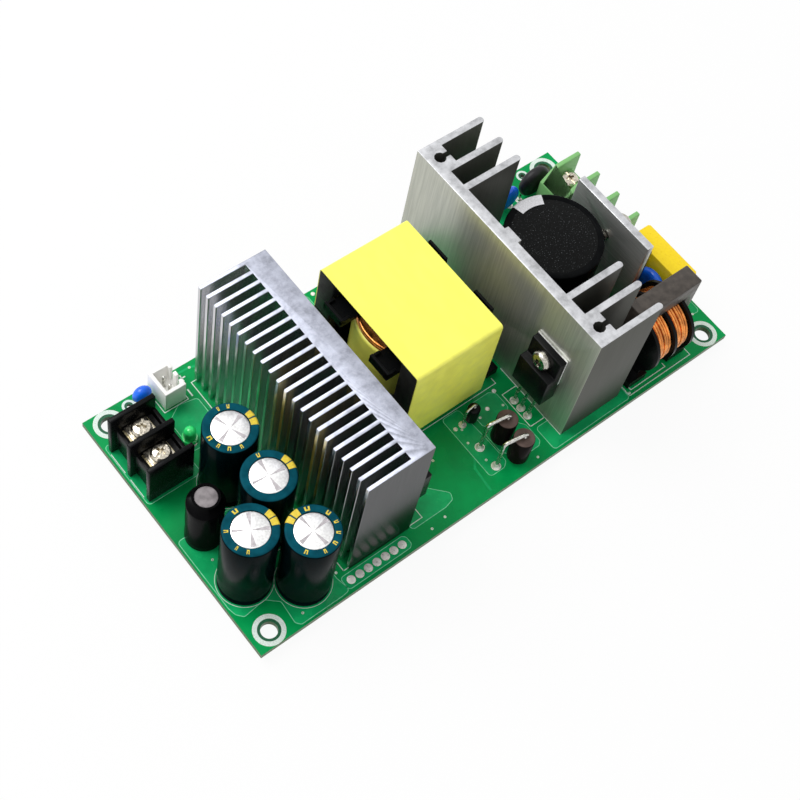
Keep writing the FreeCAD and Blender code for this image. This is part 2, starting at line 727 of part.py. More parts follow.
def core_half(label, z, turn):
    """Ferrite half: a plate with a round post and two legs that are hollowed to the window's circle."""
    body = new_body(label + "_body")
    half_width, half_length = s.core_width / 2, s.core_length / 2
    rise = s.core_height / 2
    sketch = pad(body, "XY_Plane", 0, s.core_plate)
    rectangle(sketch, about(0, s.core_width), about(0, s.core_length))
    sketch = pad(body, "XY_Plane", s.core_plate, rise)
    circle(sketch, 0, 0, s.core_post)
    inner = half_length - s.core_leg
    window = leg(s.core_window / 2, inner)
    centre = Bend(0, 0, clockwise=True)
    sketch = pad(body, "XY_Plane", s.core_plate, rise)
    outline(sketch, [(half_width, half_length), (-half_width, half_length), (-half_width, inner),
                     (-window, inner, centre), (window, inner), (half_width, inner)])
    outline(sketch, [(-half_width, -half_length), (half_width, -half_length), (half_width, -inner),
                     (window, -inner, centre), (-window, -inner), (-half_width, -inner)])
    keep(place(body, s.transformer_x, s.transformer_y, z, turn), label)


def make_transformer_bobbin():
    """Tube with two flanges, four tabs at the top and two pin rails that stand on the board."""
    body = new_body("transformer_bobbin_body")
    tab = (-s.bobbin_tab_reach, s.bobbin_tab_reach)
    rail_in = s.core_width / 2 + s.bobbin_rail_gap
    rail_out = rail_in + s.bobbin_rail
    rail_y = about(0, s.bobbin_rail_span)
    sketch = pad(body, "XY_Plane", flange_low, flange_high)
    circle(sketch, 0, 0, bobbin_tube)
    sketch = pad(body, "XY_Plane", flange_low, flange_low + s.bobbin_flange)
    circle(sketch, 0, 0, s.bobbin_disc)
    sketch = pad(body, "XY_Plane", flange_low, flange_low + s.bobbin_flange)
    rectangle(sketch, (-rail_out, rail_out), rail_y)
    sketch = pad(body, "XY_Plane", deck, flange_low)
    rectangle(sketch, (-rail_out, -rail_in), rail_y)
    rectangle(sketch, (rail_in, rail_out), rail_y)
    sketch = pad(body, "XY_Plane", flange_high - s.bobbin_flange, flange_high)
    circle(sketch, 0, 0, s.bobbin_disc)
    sketch = pad(body, "XY_Plane", flange_high - s.bobbin_flange, flange_high)
    rectangle(sketch, tab, (-s.bobbin_tab_outer, -s.bobbin_tab_inner))
    rectangle(sketch, tab, (s.bobbin_tab_inner, s.bobbin_tab_outer))
    sketch = cut(body, "XY_Plane", flange_low, flange_high)
    circle(sketch, 0, 0, bobbin_bore)
    keep(place(body, s.transformer_x, s.transformer_y, 0), "transformer_bobbin")
    pins = []
    for side in (-1, 1):
        for step in (-1.5, -0.5, 0.5, 1.5):
            x = s.transformer_x + (rail_in + s.bobbin_rail / 2) * side
            y = s.transformer_y + s.transformer_pin_pitch * step
            pins.append(lead(x, y, s.transformer_pin))
    keep(group("rail_pins", pins), "transformer_pins")


def make_transformer():
    core_half("transformer_core_lower", core_base, None)
    core_half("transformer_core_upper", core_top, UPSIDE_DOWN)
    make_transformer_bobbin()
    body = new_body("transformer_winding_body")
    sketch = pad(body, "XY_Plane", flange_low + s.bobbin_flange, flange_high - s.bobbin_flange)
    circle(sketch, 0, 0, s.winding_diameter)
    circle(sketch, 0, 0, bobbin_tube)
    keep(place(body, s.transformer_x, s.transformer_y, 0), "transformer_winding")
    body = new_body("transformer_tape_body")
    sketch = pad(body, "YZ_Plane", s.transformer_x - s.core_width / 2, s.transformer_x + s.core_width / 2)
    wrap = s.tape_thickness
    low, high = about(s.transformer_y, s.core_length)
    rectangle(sketch, (low - wrap, high + wrap), (core_base - wrap, core_top + wrap))
    rectangle(sketch, (low, high), (core_base, core_top))
    keep(body, "transformer_tape")


# Capacitors


def make_bulk_capacitor():
    """A sleeved can: the sleeve's rim, and the top disc a little below it."""
    body = new_body("bulk_capacitor_body")
    radius, height = s.bulk_diameter / 2, s.bulk_height
    inner, disc = radius - s.bulk_rim, height - s.bulk_recess
    turned(body, [(0, 0), (radius, 0), (radius, height), (inner, height), (inner, disc), (0, disc)])
    keep(place(body, s.bulk_x, s.bulk_y, deck), "bulk_capacitor")
    leads = [lead(s.bulk_x, s.bulk_y + s.bulk_lead_pitch / 2 * side, s.contact_pin) for side in (-1, 1)]
    keep(group("bulk_leads", leads), "bulk_capacitor_leads")


def make_output_capacitors():
    places = [(s.can_one_x, s.can_one_y), (s.can_row_x, s.can_two_y),
              (s.can_row_x, s.can_three_y), (s.can_row_x, s.can_four_y)]
    leads = []
    for number, (x, y) in enumerate(places, 1):
        body = new_body(f"output_capacitor_{number}_body")
        turned(body, [(0, 0), (s.can_diameter / 2, 0), (s.can_diameter / 2, s.can_height), (0, s.can_height)])
        keep(place(body, x, y, deck), f"output_capacitor_{number}")
        leads += [lead(x, y + s.can_lead_pitch / 2 * side, s.diode_lead) for side in (-1, 1)]
    keep(group("can_leads", leads), "output_capacitor_leads")


def make_inductor():
    """Ferrite rod in a winding whose shrunk sleeve draws in to a neck round the rod's top."""
    x, y = s.inductor_x, s.inductor_y
    rod, outer, neck = s.inductor_rod / 2, s.inductor_sleeve_diameter / 2, s.inductor_neck_diameter / 2
    height = s.inductor_height
    shoulder = height - s.inductor_neck_height
    body = new_body("inductor_core_body")
    turned(body, [(0, 0), (rod, 0), (rod, height - s.inductor_inset), (0, height - s.inductor_inset)])
    keep(place(body, x, y, deck), "inductor_core")
    body = new_body("inductor_winding_body")
    turned(body, [(rod, 0), (outer, 0), (outer, shoulder), (neck, height), (rod, height)])
    keep(place(body, x, y, deck), "inductor_winding")
    leads = [lead(x, y + s.inductor_lead_pitch / 2 * side, s.diode_lead) for side in (-1, 1)]
    radial_leads.extend(leads)


# Screw terminal blocks


def make_terminal(end, poles, height, turn, x, y):
    """Barrier block with open poles. Its own X runs from the wire side to the back."""
    floor = s.terminal_floor
    lip_low, lip_high = s.terminal_setback, s.terminal_setback + s.terminal_lip
    back = s.terminal_depth - s.terminal_back
    width = s.pole_pitch * poles + s.divider
    body = new_body(f"{end}_block")
    sketch = pad(body, "XZ_Plane", s.divider / 2, width - s.divider / 2)
    outline(sketch, [(lip_low, 0), (s.terminal_depth, 0), (s.terminal_depth, floor + s.terminal_back_height),
                     (back, floor + s.terminal_back_height), (back, floor), (lip_high, floor),
                     (lip_high, floor + s.terminal_lip_height), (lip_low, floor + s.terminal_lip_height)])
    sketch = pad(body, "XY_Plane", 0, height)
    for number in range(poles + 1):
        low = s.pole_pitch * number
        rectangle(sketch, (0, s.terminal_depth), (low, low + s.divider))
    screw_x = s.terminal_screw_setback
    centres = [s.divider / 2 + s.pole_pitch * (number + 0.5) for number in range(poles)]
    pin_x = screw_x + s.contact_length / 2 - s.contact_pin / 2
    stack = floor + s.contact_thickness + s.clamp_thickness
    sketch = cut(body, "XY_Plane", stack - s.terminal_screw_length - s.screw_run_out, floor)
    for centre in centres:
        rectangle(sketch, about(screw_x, s.terminal_screw_bore), about(centre, s.terminal_screw_bore))
    sketch = cut(body, "XY_Plane", 0, floor)
    for centre in centres:
        slot = s.contact_pin + s.lead_play * 2
        rectangle(sketch, about(pin_x, slot), about(centre, slot))
    keep(place(body, x, y, deck, turn), f"{end}_terminal_block")
    sign = 1 if turn is None else -1
    for centre in centres:
        place_x, place_y = x + screw_x * sign, y + centre * sign
        screw = pan_screw(f"{end}_screw", s.terminal_screw_head, s.terminal_screw_head_height,
                          s.terminal_screw_shank, s.terminal_screw_length)
        terminal_metal["screws"].append(place(screw, place_x, place_y, deck + stack, UPSIDE_DOWN))
        clamp = new_body(f"{end}_clamp")
        sketch = pad(clamp, "XY_Plane", 0, s.clamp_thickness)
        rectangle(sketch, about(0, s.clamp_side), about(0, s.clamp_side))
        bore(sketch, 0, 0, s.terminal_screw_bore)
        terminal_metal["clamps"].append(place(clamp, place_x, place_y, deck + stack - s.clamp_thickness))
        contact = new_body(f"{end}_contact")
        sketch = pad(contact, "XY_Plane", 0, s.contact_thickness)
        rectangle(sketch, about(0, s.contact_length), about(0, s.contact_width))
        bore(sketch, 0, 0, s.terminal_screw_bore)
        sketch = pad(contact, "XY_Plane", under - deck - floor, 0)
        rectangle(sketch, about(pin_x - screw_x, s.contact_pin), about(0, s.contact_pin))
        terminal_metal["contacts"].append(place(contact, place_x, place_y, deck + floor, turn))
        lead_hole(x + pin_x * sign, place_y, s.contact_pin, s.contact_pin)


def make_terminals():
    poles = 2
    near = s.output_terminal_far - s.pole_pitch * poles - s.divider
    make_terminal("output", poles, s.output_terminal_height, None, s.output_terminal_front, near)
    poles = 3
    far = s.input_terminal_near + s.pole_pitch * poles + s.divider
    half_turn = Rotation(Vector(0, 0, 1), 180)
    make_terminal("input", poles, s.input_terminal_height, half_turn, s.input_terminal_front, far)
    for kind, pieces in terminal_metal.items():
        keep(group(f"{kind}_of_terminals", pieces), f"terminal_{kind}")


# Fan connector and indicator


def make_fan_connector():
    """Open-topped shell with two slots in one wall and two square pins."""
    body = new_body("fan_connector_housing_body")
    x = (s.fan_x, s.fan_x + s.fan_depth)
    y = (s.fan_y, s.fan_y + s.fan_width)
    floor = deck + s.fan_floor
    top = deck + s.fan_height
    middle_x, middle_y = x[0] + s.fan_depth / 2, y[0] + s.fan_width / 2
    pins_y = [middle_y + s.fan_pin_pitch / 2 * side for side in (-1, 1)]
    sketch = pad(body, "XY_Plane", deck, top)
    rectangle(sketch, x, y)
    sketch = cut(body, "XY_Plane", floor, top)
    rectangle(sketch, (x[0] + s.fan_wall, x[1] - s.fan_wall), (y[0] + s.fan_wall, y[1] - s.fan_wall))
    sketch = cut(body, "XY_Plane", floor, top)
    for pin_y in pins_y:
        rectangle(sketch, (x[1] - s.fan_wall, x[1]), about(pin_y, s.fan_slot))
    sketch = cut(body, "XY_Plane", deck, floor)
    for pin_y in pins_y:
        rectangle(sketch, about(middle_x, s.fan_pin), about(pin_y, s.fan_pin))
    keep(body, "fan_connector_housing")
    pins = [lead(middle_x, pin_y, s.fan_pin, top - s.fan_wall) for pin_y in pins_y]
    keep(group("fan_pins", pins), "fan_connector_pins")


def make_indicator():
    """Lens on a flange, its dome drawn as one bevel."""
    body = new_body("indicator_led_body")
    radius, flange = s.led_diameter / 2, s.led_flange / 2
    spring = s.led_height - radius * s.dome_share
    corners = [(0, 0), (flange, 0), (flange, s.led_flange_height), (radius, s.led_flange_height),
               (radius, spring), (radius - radius * s.dome_share, s.led_height), (0, s.led_height)]
    turned(body, corners)
    keep(place(body, s.led_x, s.led_y, deck), "indicator_led")
    leads = [lead(s.led_x, s.led_y + s.led_lead_pitch / 2 * side, s.disc_lead) for side in (-1, 1)]
    radial_leads.extend(leads)


# Discs, drop, box capacitor and fuse

ACROSS_Y = Rotation(Vector(1, 0, 0), 90)


def make_disc(label, x, y, diameter, thickness, turn):
    """A coated disc that stands on edge."""
    body = new_body(label + "_body")
    sketch = pad(body, "XY_Plane", -thickness / 2, thickness / 2)
    circle(sketch, 0, 0, diameter)
    keep(place(body, x, y, deck + s.disc_lift + diameter / 2, turn), label)


def disc_leads(x, y, diameter, pitch, along_x):
    """Two leads that reach up to the disc's lower edge where they meet it."""
    rise = deck + s.disc_lift + diameter / 2 - leg(diameter / 2, pitch / 2 - s.disc_lead / 2)
    made = []
    for side in (-1, 1):
        shift = pitch / 2 * side
        lead_x, lead_y = (x + shift, y) if along_x else (x, y + shift)
        made.append(lead(lead_x, lead_y, s.disc_lead, rise))
    return made


def make_discs():
    make_disc("safety_capacitor_far", s.far_disc_x, s.far_disc_y, s.far_disc_diameter,
              s.disc_thickness, ACROSS_Y)
    make_disc("safety_capacitor_near", s.near_disc_x, s.near_disc_y, s.near_disc_diameter,
              s.disc_thickness, ALONG_X)
    make_disc("inrush_thermistor", s.thermistor_x, s.thermistor_y, s.thermistor_diameter,
              s.thermistor_thickness, ACROSS_Y)
    leads = disc_leads(s.far_disc_x, s.far_disc_y, s.far_disc_diameter, s.far_disc_pitch, True)
    leads += disc_leads(s.near_disc_x, s.near_disc_y, s.near_disc_diameter, s.disc_pitch, False)
    leads += disc_leads(s.thermistor_x, s.thermistor_y, s.thermistor_diameter, s.disc_pitch, True)
    radial_leads.extend(leads)


def make_drop_capacitor():
    """Small dipped capacitor: an upright drop, rounder at the top than between its leads."""
    body = new_body("bypass_capacitor_body")
    half, deep = s.drop_width / 2, s.drop_thickness
    sketch = pad(body, "XZ_Plane", -deep / 2, deep / 2)
    base = s.drop_pitch / 2
    outline(sketch, [(-base, 0), (base, 0), (half, half, Bend(0, half)), (-half, half)])
    keep(place(body, s.drop_x, s.drop_y, deck + s.drop_lift), "bypass_capacitor")
    top = deck + s.drop_lift
    inset = s.drop_pitch / 2 - s.disc_lead / 2
    leads = [lead(s.drop_x + inset * side, s.drop_y, s.disc_lead, top) for side in (-1, 1)]
    radial_leads.extend(leads)


def cased_block(body, x, y, z, edge):
    """A moulded case with its upright edges bevelled."""
    sketch = pad(body, "XY_Plane", z[0], z[1])
    outline(sketch, [(x[0] + edge, y[0]), (x[1] - edge, y[0]), (x[1], y[0] + edge), (x[1], y[1] - edge),
                     (x[1] - edge, y[1]), (x[0] + edge, y[1]), (x[0], y[1] - edge), (x[0], y[0] + edge)])


def make_box_capacitor():
    """Moulded case on four small feet."""
    body = new_body("box_capacitor_body")
    x = (s.box_x, s.box_x + s.box_depth)
    y = (s.box_y, s.box_y + s.box_width)
    case_base = deck + s.box_foot
    cased_block(body, x, y, (case_base, case_base + s.box_height), s.box_edge)
    foot = s.box_edge * 2
    sketch = pad(body, "XY_Plane", deck, case_base)
    for low_x in (x[0] + s.box_edge, x[1] - s.box_edge - foot):
        for low_y in (y[0] + s.box_edge, y[1] - s.box_edge - foot):
            rectangle(sketch, (low_x, low_x + foot), (low_y, low_y + foot))
    keep(body, "box_capacitor")
    middle_x, middle_y = x[0] + s.box_depth / 2, y[0] + s.box_width / 2
    leads = [lead(middle_x, middle_y + s.box_pitch / 2 * side, s.disc_lead, case_base) for side in (-1, 1)]
    radial_leads.extend(leads)


def make_fuse():
    body = new_body("fuse_body")
    x = (s.fuse_x, s.fuse_x + s.fuse_depth)
    y = (s.fuse_y, s.fuse_y + s.fuse_width)
    cased_block(body, x, y, (deck, deck + s.fuse_height), s.box_edge)
    keep(body, "fuse")
    middle_x, middle_y = x[0] + s.fuse_depth / 2, y[0] + s.fuse_width / 2
    leads = [lead(middle_x, middle_y + s.fuse_pitch / 2 * side, s.disc_lead) for side in (-1, 1)]
    radial_leads.extend(leads)


# Line filter choke


def make_choke():
    """Closed ferrite frame with a two-section bobbin round its lower bar."""
    frame_x = about(s.choke_x, s.choke_frame_length)
    frame_y = about(s.choke_y, s.choke_frame_depth)
    base, top = deck + s.choke_frame_base, deck + s.choke_frame_top
    window_x = (frame_x[0] + s.choke_side, frame_x[1] - s.choke_side)
    bar_z = (base, base + s.choke_leg)
    axis_z = base + s.choke_leg / 2
    body = new_body("choke_core_body")
    sketch = pad(body, "XZ_Plane", frame_y[0], frame_y[1])
    rectangle(sketch, frame_x, (base, top))
    rectangle(sketch, window_x, (bar_z[1], top - s.choke_leg))
    keep(body, "choke_core")

    bobbin_x = (window_x[0] + s.choke_play, window_x[1] - s.choke_play)
    bore_y = (frame_y[0] - s.choke_play, frame_y[1] + s.choke_play)
    bore_z = (bar_z[0] - s.choke_play, bar_z[1] + s.choke_play)
    tube_y = (bore_y[0] - s.choke_tube_wall, bore_y[1] + s.choke_tube_wall)
    tube_z = (bore_z[0] - s.choke_tube_wall, bore_z[1] + s.choke_tube_wall)
    middle = s.choke_x - s.choke_flange / 2
    flange_lows = [bobbin_x[0], middle, bobbin_x[1] - s.choke_flange]
    body = new_body("choke_bobbin_body")
    sketch = pad(body, "YZ_Plane", bobbin_x[0], bobbin_x[1])
    rectangle(sketch, tube_y, tube_z)
    radius, foot = s.choke_flange_diameter / 2, s.choke_foot_width / 2
    join_z = axis_z - leg(radius, foot)
    for low in flange_lows:
        sketch = pad(body, "YZ_Plane", low, low + s.choke_flange)
        outline(sketch, [(s.choke_y - foot, deck), (s.choke_y + foot, deck),
                         (s.choke_y + foot, join_z, Bend(s.choke_y, axis_z)), (s.choke_y - foot, join_z)])
    block_z = (deck, deck + s.choke_foot_height)
    block_y = about(s.choke_y, s.choke_foot_span)
    near_block = (frame_x[0], frame_x[0] + s.choke_foot_length)
    far_block = (frame_x[1] - s.choke_foot_length, frame_x[1])
    sketch = pad(body, "XY_Plane", block_z[0], block_z[1])
    rectangle(sketch, near_block, block_y)
    rectangle(sketch, far_block, block_y)
    sketch = cut(body, "YZ_Plane", bobbin_x[0], bobbin_x[1])
    rectangle(sketch, bore_y, bore_z)
    keep(body, "choke_bobbin")

    windings = []
    for low, high in zip(flange_lows, flange_lows[1:]):
        winding = new_body("choke_winding")
        sketch = pad(winding, "YZ_Plane", low + s.choke_flange, high)
        circle(sketch, s.choke_y, axis_z, s.choke_winding_diameter)
        rectangle(sketch, tube_y, tube_z)
        windings.append(winding)
    keep(group("choke_winding_pair", windings), "choke_windings")

    inset = s.choke_pin_inset
    pins = [lead(x, y, s.choke_pin) for x in (frame_x[0] + inset, frame_x[1] - inset)
            for y in (block_y[0] + inset, block_y[1] - inset)]
    keep(group("choke_pin_set", pins), "choke_pins")


# Power semiconductors


def make_device(label, face, side, y):
    """Moulded power case against a sink's face; side is the way it stands out along X."""
    body = new_body(label + "_body")
    front, tab = face + s.device_thickness * side, face + s.device_tab * side
    top, step = device_base + s.device_height, device_base + s.device_height - s.device_step
    sketch = pad(body, "XZ_Plane", y - s.device_width / 2, y + s.device_width / 2)
    outline(sketch, [(face, device_base), (front, device_base), (front, step), (tab, step),
                     (tab, top), (face, top)])
    seat = (face, tab) if side > 0 else (tab, face)
    sketch = cut(body, "YZ_Plane", seat[0], seat[1])
    bore(sketch, y, device_hole_z, s.screw_bore)
    keep(body, label)


def device_leads(label, face, side, y):
    """Three flat leads that bend away from the sink on their way to the board."""
    half = s.device_lead_thickness / 2
    high, low = device_base - s.device_bend_high, device_base - s.device_bend_low
    back, out = face + s.device_lead_back * side, face + s.device_lead_out * side
    made = []
    for step in (-1, 0, 1):
        centre = y + s.device_lead_pitch * step
        body = new_body(label + "_lead")
        sketch = pad(body, "XZ_Plane", centre - s.device_lead_width / 2, centre + s.device_lead_width / 2)
        outline(sketch, [(back - half, device_base), (back - half, high), (out - half, low),
                         (out - half, under), (out + half, under), (out + half, low),
                         (back + half, high), (back + half, device_base)])
        lead_hole(out, centre, s.device_lead_thickness, s.device_lead_width)
        made.append(body)
    return made


def make_power_parts():
    make_device("switch_transistor", s.input_sink_face, -1, s.switch_y)
    leads = device_leads("switch", s.input_sink_face, -1, s.switch_y)
    keep(group("switch_leads", leads), "switch_transistor_leads")
    leads = []
    for number, y in enumerate((s.rectifier_near_y, s.rectifier_far_y), 1):
        make_device(f"output_rectifier_{number}", s.output_sink_face, 1, y)
        leads += device_leads("rectifier", s.output_sink_face, 1, y)
    keep(group("rectifier_leads", leads), "output_rectifier_leads")


def make_bridge():
    """Flat bridge with one cut corner, screwed to the hidden side of the plate."""
    body = new_body("bridge_rectifier_body")
    x = (s.plate_face, s.plate_face + s.bridge_thickness)
    near, far = about(plate_middle, s.bridge_width)
    top = bridge_base + s.bridge_height
    sketch = pad(body, "YZ_Plane", x[0], x[1])
    outline(sketch, [(near, bridge_base), (far, bridge_base), (far, top), (near + s.bridge_corner, top),
                     (near, top - s.bridge_corner)])
    sketch = cut(body, "YZ_Plane", x[0], x[1])
    bore(sketch, plate_middle, bridge_hole_z, s.screw_bore)
    keep(body, "bridge_rectifier")
    middle = s.plate_face + s.bridge_thickness / 2
    leads = [lead(middle, plate_middle + s.bridge_lead_pitch * step, s.bridge_lead_width, bridge_base)
             for step in (-1.5, -0.5, 0.5, 1.5)]
    keep(group("bridge_pins", leads), "bridge_rectifier_leads")


# Standing parts


def standing_part(label, x, y, diameter, length, lift):
    body = new_body(label + "_body")
    turned(body, [(0, 0), (diameter / 2, 0), (diameter / 2, length), (0, length)])
    keep(place(body, x, y, deck + lift), label)


def direction(turn):
    """The two parts of a step of one in the direction of an angle in degrees."""
    angle = math.radians(turn.value)
    return Size(math.cos(angle), f"cos({turn.text})"), Size(math.sin(angle), f"sin({turn.text})")


def standing_leads(x, y, lift, length, pitch, side, turn):
    """The straight lead under a standing part, and the one bent over from its top towards turn."""
    straight = lead(x, y, side, deck + lift)
    body = new_body("bent_lead")
    half = side / 2
    foot = deck + lift + length
    crown = foot + s.diode_loop
    sketch = pad(body, "XZ_Plane", -half, half)
    outline(sketch, [(-half, foot), (half, foot), (half, crown - side), (pitch - half, crown - side),
                     (pitch - half, under), (pitch + half, under), (pitch + half, crown), (-half, crown)])
    place(body, x, y, 0, Rotation(Vector(0, 0, 1), turn.value))
    body.setExpression("Placement.Rotation.Angle", turn.text)
    across, along = direction(turn)
    lead_hole(x + pitch * across, y + pitch * along, side, side)
    return [straight, body]


def make_standing_parts():
    leads = []
    for number, y in enumerate((s.diode_first_y, s.diode_second_y), 1):
        standing_part(f"standing_diode_{number}", s.diode_x, y, s.diode_diameter,
                      s.diode_length, s.diode_lift)
        leads += standing_leads(s.diode_x, y, s.diode_lift, s.diode_length, s.diode_pitch,
                                s.diode_lead, s.diode_turn)
    standing_part("standing_resistor", s.resistor_x, s.resistor_y, s.resistor_diameter,
                  s.resistor_length, s.resistor_lift)
    leads += standing_leads(s.resistor_x, s.resistor_y, s.resistor_lift, s.resistor_length,
                            s.resistor_pitch, s.disc_lead, s.resistor_turn)
    keep(group("standing_lead_set", leads), "standing_part_leads")


# Small integrated parts


def make_optocoupler():
    """Four-lead coupler across the gap between the two sides of the circuit."""
    body = new_body("optocoupler_body")
    x = about(s.optocoupler_x, s.optocoupler_length)
    y = about(s.optocoupler_y, s.optocoupler_width)
    low = deck + s.optocoupler_lift
    cased_block(body, x, y, (low, low + s.optocoupler_height), s.lead_play)
    keep(body, "optocoupler")
    shoulder = low + s.optocoupler_height / 2
    leads = [lead(s.optocoupler_x + s.optocoupler_row / 2 * side,
                  s.optocoupler_y + s.optocoupler_pitch * step, s.disc_lead, shoulder)
             for side in (-1, 1) for step in (-0.5, 0.5)]
    keep(group("coupler_leads", leads), "optocoupler_leads")


def make_controller_chip():
    """Eight-lead case soldered to the underside, its leads flat against the board."""
    body = new_body("controller_chip_body")
    y = about(s.chip_y, s.chip_width)
    cased_block(body, about(s.chip_x, s.chip_length), y, (-s.chip_height, 0), s.lead_play)
    keep(body, "controller_chip")
    leads = []
    for step in (-1.5, -0.5, 0.5, 1.5):
        x = about(s.chip_x + s.chip_lead_pitch * step, s.chip_lead_width)
        for lead_y in ((y[0] - s.chip_lead_reach, y[0]), (y[1], y[1] + s.chip_lead_reach)):
            leads.append(box("chip_lead", x, lead_y, (-s.chip_lead_thickness, 0)))
    keep(group("chip_lead_set", leads), "controller_chip_leads")


def make_board():
    """Board with corner holes, tooling holes, screw holes and a hole for every lead."""
    body = new_body("board_blank")
    sketch = pad(body, "XY_Plane", 0, s.board_thickness)
    rectangle(sketch, about(0, s.board_length), about(0, s.board_width))
    sketch = cut(body, "XY_Plane", 0, s.board_thickness)
    for x in about(0, s.fixing_spacing_long):
        for y in about(0, s.fixing_spacing_wide):
            circle(sketch, x, y, s.fixing_bore)
    tooling_x = s.board_length / 2 - s.tooling_inset_long
    tooling_y = s.board_width / 2 - s.tooling_inset_wide
    for x in (-tooling_x, tooling_x):
        circle(sketch, x, tooling_y, s.tooling_bore)
    for y in output_screw_y:
        bore(sketch, output_screw_x, y, s.screw_bore)
    for y in keyway_y:
        bore(sketch, keyway_x, y, s.screw_bore)
    keep(carved("board_with_lead_holes", body, group("all_lead_holes", lead_holes)), "circuit_board")


def check_model():
    """Every object is sound, every pocket removes material, and every sub-part is a valid solid."""
    faults = []
    for thing in doc.Objects:
        if {"Invalid", "Error"} & set(thing.State):
            faults.append(f"{thing.Name}: {thing.State}")
    for pocket in pockets:
        if pocket.BaseFeature.Shape.Volume - pocket.Shape.Volume < 0.01:
            faults.append(f"{pocket.Name}: cuts nothing")
    for thing in subparts:
        if thing.Shape.isNull() or not thing.Shape.isValid() or not thing.Shape.Solids:
            faults.append(f"{thing.Label}: not a valid solid")
    if faults:
        raise RuntimeError("; ".join(faults))


def main():
    make_output_heatsink()
    make_input_heatsink()
    make_rectifier_heatsink()
    make_screws()
    make_transformer()
    make_bulk_capacitor()
    make_output_capacitors()
    make_inductor()
    make_terminals()
    make_fan_connector()
    make_indicator()
    make_discs()
    make_drop_capacitor()
    make_box_capacitor()
    make_fuse()
    keep(group("radial_lead_set", radial_leads), "radial_leads")
    make_choke()
    make_power_parts()
    make_bridge()
    make_standing_parts()
    make_optocoupler()
    make_controller_chip()
    make_board()
    doc.recompute()
    check_model()
    os.makedirs("parts", exist_ok=True)
    for thing in subparts:
        thing.Shape.exportStep(f"parts/{thing.Label}.step")


main()
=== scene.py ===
import math

import bmesh
import bpy
from bpy.props import FloatProperty, FloatVectorProperty, PointerProperty
from mathutils import Matrix, Vector


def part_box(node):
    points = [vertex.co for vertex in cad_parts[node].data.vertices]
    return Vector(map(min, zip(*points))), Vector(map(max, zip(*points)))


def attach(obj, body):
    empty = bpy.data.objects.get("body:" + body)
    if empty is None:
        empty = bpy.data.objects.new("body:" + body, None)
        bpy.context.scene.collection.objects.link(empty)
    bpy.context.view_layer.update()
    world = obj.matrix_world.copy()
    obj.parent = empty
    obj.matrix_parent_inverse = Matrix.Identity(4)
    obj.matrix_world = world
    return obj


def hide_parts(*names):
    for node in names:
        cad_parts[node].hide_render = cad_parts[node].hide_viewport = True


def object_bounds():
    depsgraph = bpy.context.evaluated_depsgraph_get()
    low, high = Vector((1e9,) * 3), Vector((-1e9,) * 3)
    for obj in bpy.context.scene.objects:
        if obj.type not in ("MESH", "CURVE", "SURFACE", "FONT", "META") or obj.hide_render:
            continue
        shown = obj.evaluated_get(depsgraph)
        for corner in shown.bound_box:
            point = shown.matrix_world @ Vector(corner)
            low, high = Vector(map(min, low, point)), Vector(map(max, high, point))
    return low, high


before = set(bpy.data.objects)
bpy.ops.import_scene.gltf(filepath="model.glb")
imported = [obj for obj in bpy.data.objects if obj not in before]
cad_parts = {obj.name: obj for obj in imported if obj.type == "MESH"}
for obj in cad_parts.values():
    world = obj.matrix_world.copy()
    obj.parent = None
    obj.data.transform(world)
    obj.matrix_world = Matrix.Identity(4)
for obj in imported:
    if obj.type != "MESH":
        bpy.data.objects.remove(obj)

bl_info = {
    "name": "Open frame power supply",
    "version": (1, 0, 0),
    "blender": (4, 5, 0),
    "location": "3D View > Sidebar > Power supply",
    "description": "Dresses the board, heat sinks, wound parts and terminals of an open frame power supply",
    "category": "Object",
}

MM = 0.001
CAD_LOW, CAD_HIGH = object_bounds()

# The photograph's camera: its place in metres, and its right, down and forward directions
CAMERA_PLACE = (-0.158689, -0.119235, 0.322708)
CAMERA_RIGHT = (0.77201133, -0.62093436, 0.13579038)
CAMERA_DOWN = (-0.49137448, -0.71855857, -0.49216329)
CAMERA_FORWARD = (0.40317444, 0.31323171, -0.85984665)
FOCAL_LENGTH = 69.69
SENSOR_WIDTH = 36.0
# How much of the floor is plain white where it is seen; the rest is lit and keeps the shadow
FLOOR_GLOW = 0.93
# Corners closer than this, in millimetres, are one
SAME_PLACE = 0.0005
# Most of a noise texture lies between these values
NOISE_LOW, NOISE_HIGH = 0.32, 0.68


# Meshes


def node_box(name):
    """Low corner, high corner and middle of a CAD node, in millimetres."""
    low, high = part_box(name)
    return low / MM, high / MM, (low + high) / (2 * MM)


def finish_piece(name, bm, materials, slot, *nodes, smooth=35.0):
    """Turn a bmesh in millimetres into a piece that rides on the board, its edges sharp over an angle."""
    bmesh.ops.recalc_face_normals(bm, faces=bm.faces)
    bm.transform(Matrix.Scale(MM, 4))
    mesh = bpy.data.meshes.new(name)
    bm.to_mesh(mesh)
    bm.free()
    for material in (materials,) if isinstance(materials, str) else materials:
        mesh.materials.append(FINISHES[material])
    mesh.shade_smooth()
    mesh.set_sharp_from_angle(angle=math.radians(smooth))
    piece = bpy.data.objects.new(name, mesh)
    bpy.context.scene.collection.objects.link(piece)
    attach(piece, "root")
    if nodes:
        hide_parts(*nodes)


def merged(node):
    """A copy of a CAD node as a bmesh in millimetres, its triangles joined at their corners."""
    bm = bmesh.new()
    bm.from_mesh(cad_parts[node].data)
    bm.transform(Matrix.Scale(1 / MM, 4))
    bmesh.ops.remove_doubles(bm, verts=bm.verts, dist=SAME_PLACE)
    return bm


def solid_of(node):
    """A CAD node as a bmesh in millimetres, its flat faces whole again."""
    bm = merged(node)
    bmesh.ops.dissolve_limit(bm, angle_limit=math.radians(0.6), verts=bm.verts, edges=bm.edges)
    return bm


